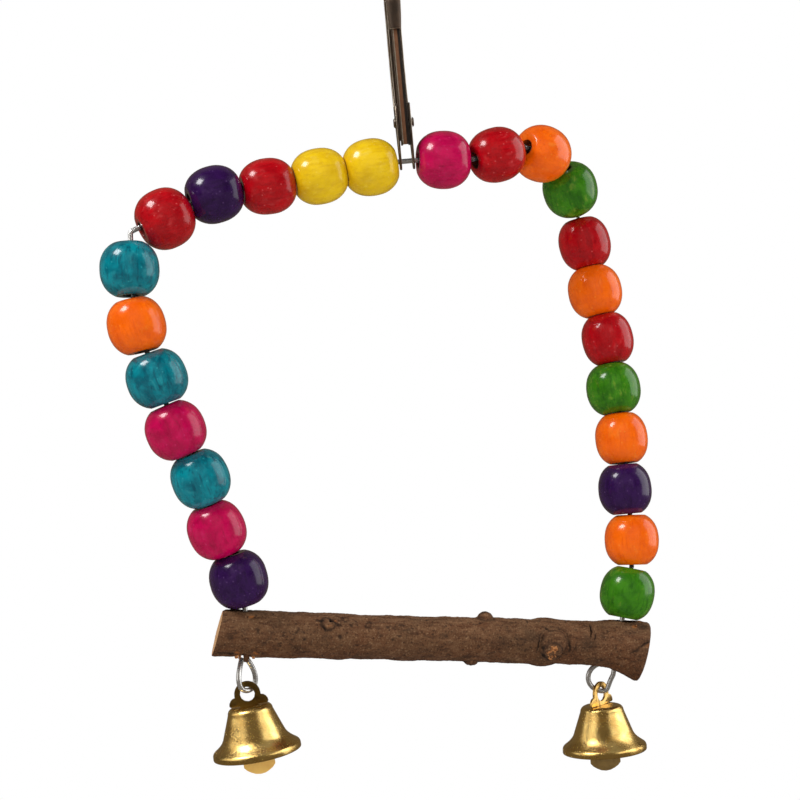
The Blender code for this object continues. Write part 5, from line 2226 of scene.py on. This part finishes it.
@dataclass
class Studio:
    """Camera, pale floor, white surround, soft lamps and what metal mirrors."""

    eye: Vector = field(default_factory=lambda: Vector((-0.1626, -0.5776, -0.1302)))
    look: Vector = field(default_factory=lambda: Vector((0.2756, 0.9613, 0.0)))
    view_angle: float = 23.8
    middle: Vector = field(default_factory=lambda: Vector((0.0, 0.0, -0.13)))
    near_clip: float = 0.01
    floor_level: float = -0.33
    floor_half: float = 6.0
    floor_cells: int = 8
    floor_colour: Colour = (0.86, 0.86, 0.86)
    floor_roughness: float = 0.9
    floor_fade: Point = (0.12, 0.34)
    white: Colour = (1.0, 1.0, 1.0)
    surround: float = 0.42
    surround_tint: Colour = (0.98, 0.99, 1.0)
    unmirrored: tuple[str, ...] = ("turned_bead", "bark", "twig", "loose")
    tent_radius: float = 1.6
    tent_glow: float = 0.13
    tent_tint: Colour = (1.0, 0.80, 0.56)
    card_tint: Colour = (1.0, 0.95, 0.88)
    apron_radius: float = 1.58
    apron_lift: float = 0.002
    round_steps: int = 48
    lamps: tuple[Lamp, ...] = (
        Lamp("window_lamp", -62.0, 46.0, 0.9, (0.32, 0.28), 4.2),
        Lamp("side_lamp", 96.0, 18.0, 1.0, (0.85, 1.15), 5.0),
        Lamp("front_fill", 8.0, 22.0, 1.3, (1.2, 1.2), 5.0, False),
    )
    cards: tuple[Card, ...] = (
        Card("left_card", -68.0, 16.0, 1.3, (1.6, 0.9), 1.0),
        Card("right_card", 64.0, 27.0, 1.3, (1.4, 0.9), 1.2),
        Card("ceiling_card", 0.0, 80.0, 1.3, (1.5, 1.2), 0.28),
    )

    def build(self, pieces: list[bpy.types.Object]) -> None:
        """Sets the scene up round the swing.

        Args:
            pieces: The swing's pieces, of which only the metal ones mirror the cards.
        """
        bpy.context.scene.view_settings.view_transform = "Standard"
        self.set_camera()
        self.set_world()
        self.lay_floor()
        self.pitch_tent()
        for lamp in self.lamps:
            self.hang_lamp(lamp)
        metal = bpy.data.collections.new("metal_pieces")
        for piece in pieces:
            if not piece.name.startswith(self.unmirrored):
                metal.objects.link(piece)
        for card in self.cards:
            self.hang_card(card).light_linking.receiver_collection = metal

    def set_camera(self) -> None:
        """Puts the camera where the photograph was taken."""
        lens = bpy.data.cameras.new("camera")
        lens.angle = math.radians(self.view_angle)
        lens.clip_start = self.near_clip
        camera = bpy.data.objects.new("camera", lens)
        camera.location = self.eye
        camera.rotation_euler = self.look.to_track_quat("-Z", "Y").to_euler()
        bpy.context.scene.collection.objects.link(camera)
        bpy.context.scene.camera = camera

    def seen_share(self, tree: bpy.types.NodeTree) -> Socket:
        """Tells the rays that show the surround itself, straight or in a reflection.

        Args:
            tree: The node tree to work in.

        Returns:
            1 for these rays and 0 for all others.
        """
        rays = tree.nodes.new("ShaderNodeLightPath")
        share = rays.outputs["Is Camera Ray"]
        for name in ("Is Glossy Ray", "Is Transmission Ray"):
            either = tree.nodes.new("ShaderNodeMath")
            either.operation = "MAXIMUM"
            tree.links.new(share, either.inputs[0])
            tree.links.new(rays.outputs[name], either.inputs[1])
            share = either.outputs[0]
        return share

    def set_world(self) -> None:
        """Makes a surround that is white to look at and softer as a light."""
        world = bpy.data.worlds.new("surround")
        world.use_nodes = True
        bpy.context.scene.world = world
        tree = world.node_tree
        soft = tree.nodes["Background"]
        soft.inputs["Color"].default_value = (*self.surround_tint, 1.0)
        soft.inputs["Strength"].default_value = self.surround
        white = tree.nodes.new("ShaderNodeBackground")
        white.inputs["Color"].default_value = (*self.white, 1.0)
        mix = tree.nodes.new("ShaderNodeMixShader")
        tree.links.new(self.seen_share(tree), mix.inputs[0])
        tree.links.new(soft.outputs[0], mix.inputs[1])
        tree.links.new(white.outputs[0], mix.inputs[2])
        tree.links.new(mix.outputs[0], tree.nodes["World Output"].inputs["Surface"])

    def lay_floor(self) -> None:
        """Lays a pale floor that keeps the shadow and fades to white further out."""
        shape = bmesh.new()
        cells = self.floor_cells
        bmesh.ops.create_grid(shape, x_segments=cells, y_segments=cells, size=self.floor_half)
        bmesh.ops.translate(shape, vec=(0, 0, self.floor_level), verts=shape.verts)
        nodes = FinishNodes("pale_floor")
        nodes.dress({"Base Color": self.floor_colour, "Roughness": self.floor_roughness})
        tree = nodes.material.node_tree
        place = nodes.scaled(nodes.add("ShaderNodeTexCoord", {}).outputs["Object"], (1, 1, 0))
        far = nodes.add("ShaderNodeVectorMath", {0: place}, operation="LENGTH").outputs["Value"]
        share = nodes.calc(
            "MULTIPLY", nodes.level(far, *self.floor_fade), self.seen_share(tree)
        )
        white = nodes.add("ShaderNodeEmission", {"Color": self.white, "Strength": 1.0})
        mix = nodes.add("ShaderNodeMixShader", {0: share})
        nodes.links.new(nodes.shader.outputs[0], mix.inputs[1])
        nodes.links.new(white.outputs[0], mix.inputs[2])
        nodes.links.new(mix.outputs[0], nodes.nodes["Material Output"].inputs["Surface"])
        self.put_stage("floor", shape, nodes.material)

    def put_stage(self, name: str, shape: Shape, finish: Finish) -> bpy.types.Object:
        """Links a mesh as part of the stage.

        Args:
            name: Name of the object.
            shape: Its mesh in metres, which is used up.
            finish: Its material.

        Returns:
            The object.
        """
        mesh = bpy.data.meshes.new(name)
        shape.to_mesh(mesh)
        shape.free()
        mesh.materials.append(finish)
        item = bpy.data.objects.new(name, mesh)
        bpy.context.scene.collection.objects.link(item)
        item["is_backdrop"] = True
        return item

    def put_mirrored(
        self, name: str, shape: Shape, tint: Colour, glow: float
    ) -> bpy.types.Object:
        """Puts up a plainly glowing surface that only reflections show.

        Args:
            name: Name of the object.
            shape: Its mesh in metres, which is used up.
            tint: Colour of the glow.
            glow: Strength of the glow.

        Returns:
            The object.
        """
        nodes = FinishNodes(name)
        light = nodes.add("ShaderNodeEmission", {"Color": tint, "Strength": glow})
        nodes.links.new(light.outputs[0], nodes.nodes["Material Output"].inputs["Surface"])
        item = self.put_stage(name, shape, nodes.material)
        item.visible_camera = False
        item.visible_diffuse = False
        item.visible_shadow = False
        item.visible_transmission = False
        return item

    def pitch_tent(self) -> None:
        """Puts a dim room round the swing for metal to mirror."""
        tent = bmesh.new()
        steps = self.round_steps
        bmesh.ops.create_uvsphere(
            tent, u_segments=steps, v_segments=steps // 2, radius=self.tent_radius
        )
        bmesh.ops.translate(tent, vec=self.middle, verts=tent.verts)
        self.put_mirrored("dark_tent", tent, self.tent_tint, self.tent_glow)
        apron = bmesh.new()
        bmesh.ops.create_circle(apron, cap_ends=True, segments=steps, radius=self.apron_radius)
        level = self.floor_level + self.apron_lift
        bmesh.ops.translate(apron, vec=(0, 0, level), verts=apron.verts)
        self.put_mirrored("dark_apron", apron, self.tent_tint, self.tent_glow)

    def facing(self, panel: Panel) -> Matrix:
        """Finds where a lamp or card hangs.

        Args:
            panel: The lamp or card.

        Returns:
            Its frame, in metres, with -Z towards the swing's middle.
        """
        out = Matrix.Rotation(math.radians(panel.turn), 3, "Z") @ -self.look.normalized()
        high = math.radians(panel.rise)
        out = out * math.cos(high) + Vector((0, 0, math.sin(high)))
        return Matrix.Translation(self.middle + out * panel.distance) @ aimed(out)

    def hang_lamp(self, lamp: Lamp) -> None:
        """Hangs one soft lamp that faces the swing.

        Args:
            lamp: The lamp.
        """
        light = bpy.data.lights.new(lamp.name, "AREA")
        light.shape = "RECTANGLE"
        light.size, light.size_y = lamp.size
        light.energy = lamp.watts
        item = bpy.data.objects.new(lamp.name, light)
        item.matrix_world = self.facing(lamp)
        item.visible_glossy = lamp.mirrored
        bpy.context.scene.collection.objects.link(item)

    def hang_card(self, card: Card) -> bpy.types.Object:
        """Hangs one pale card for metal to mirror.

        Args:
            card: The card.

        Returns:
            Its object.
        """
        shape = bmesh.new()
        bmesh.ops.create_grid(shape, x_segments=1, y_segments=1, size=0.5)
        bmesh.ops.scale(shape, vec=(card.size[0], card.size[1], 1.0), verts=shape.verts)
        put(shape, self.facing(card))
        return self.put_mirrored(card.name, shape, self.card_tint, card.glow)


def main() -> None:
    """Builds the swing's pieces in order, then the studio round them."""
    logging.basicConfig(level=logging.INFO, format="%(name)s %(message)s")
    noise.seed_set(NOISE_SEED)
    frame = SwingFrame()
    bench = PieceBench(frame)
    ArchWire(bench).build()
    BeadString(bench).build()
    BranchPerch(bench).build()
    brass, dark, gold = BRASS.make(), SHADED_BRASS.make(), GOLD_EDGE.make()
    amber, olive = AMBER_PLATE.make(), OLIVE_PLATE.make()
    # The links, deep in the bells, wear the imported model's own galvanised finish
    link = bpy.data.materials["galvanised_wire"]
    # The left hanger's faces wear the painted shade brass, and the right hanger's the plain gold
    CageBell(bench, "left", brass, [dark, gold], [amber, amber], link, LEFT_SCUFFS).build()
    CageBell(bench, "right", brass, [gold, gold], [olive, olive], link, RIGHT_SCUFFS).build()
    SnapClip(bench).build()
    Studio().build(bench.pieces)
    LOG.info("%d pieces made", len(bench.pieces))


if __name__ == "__main__":
    main()
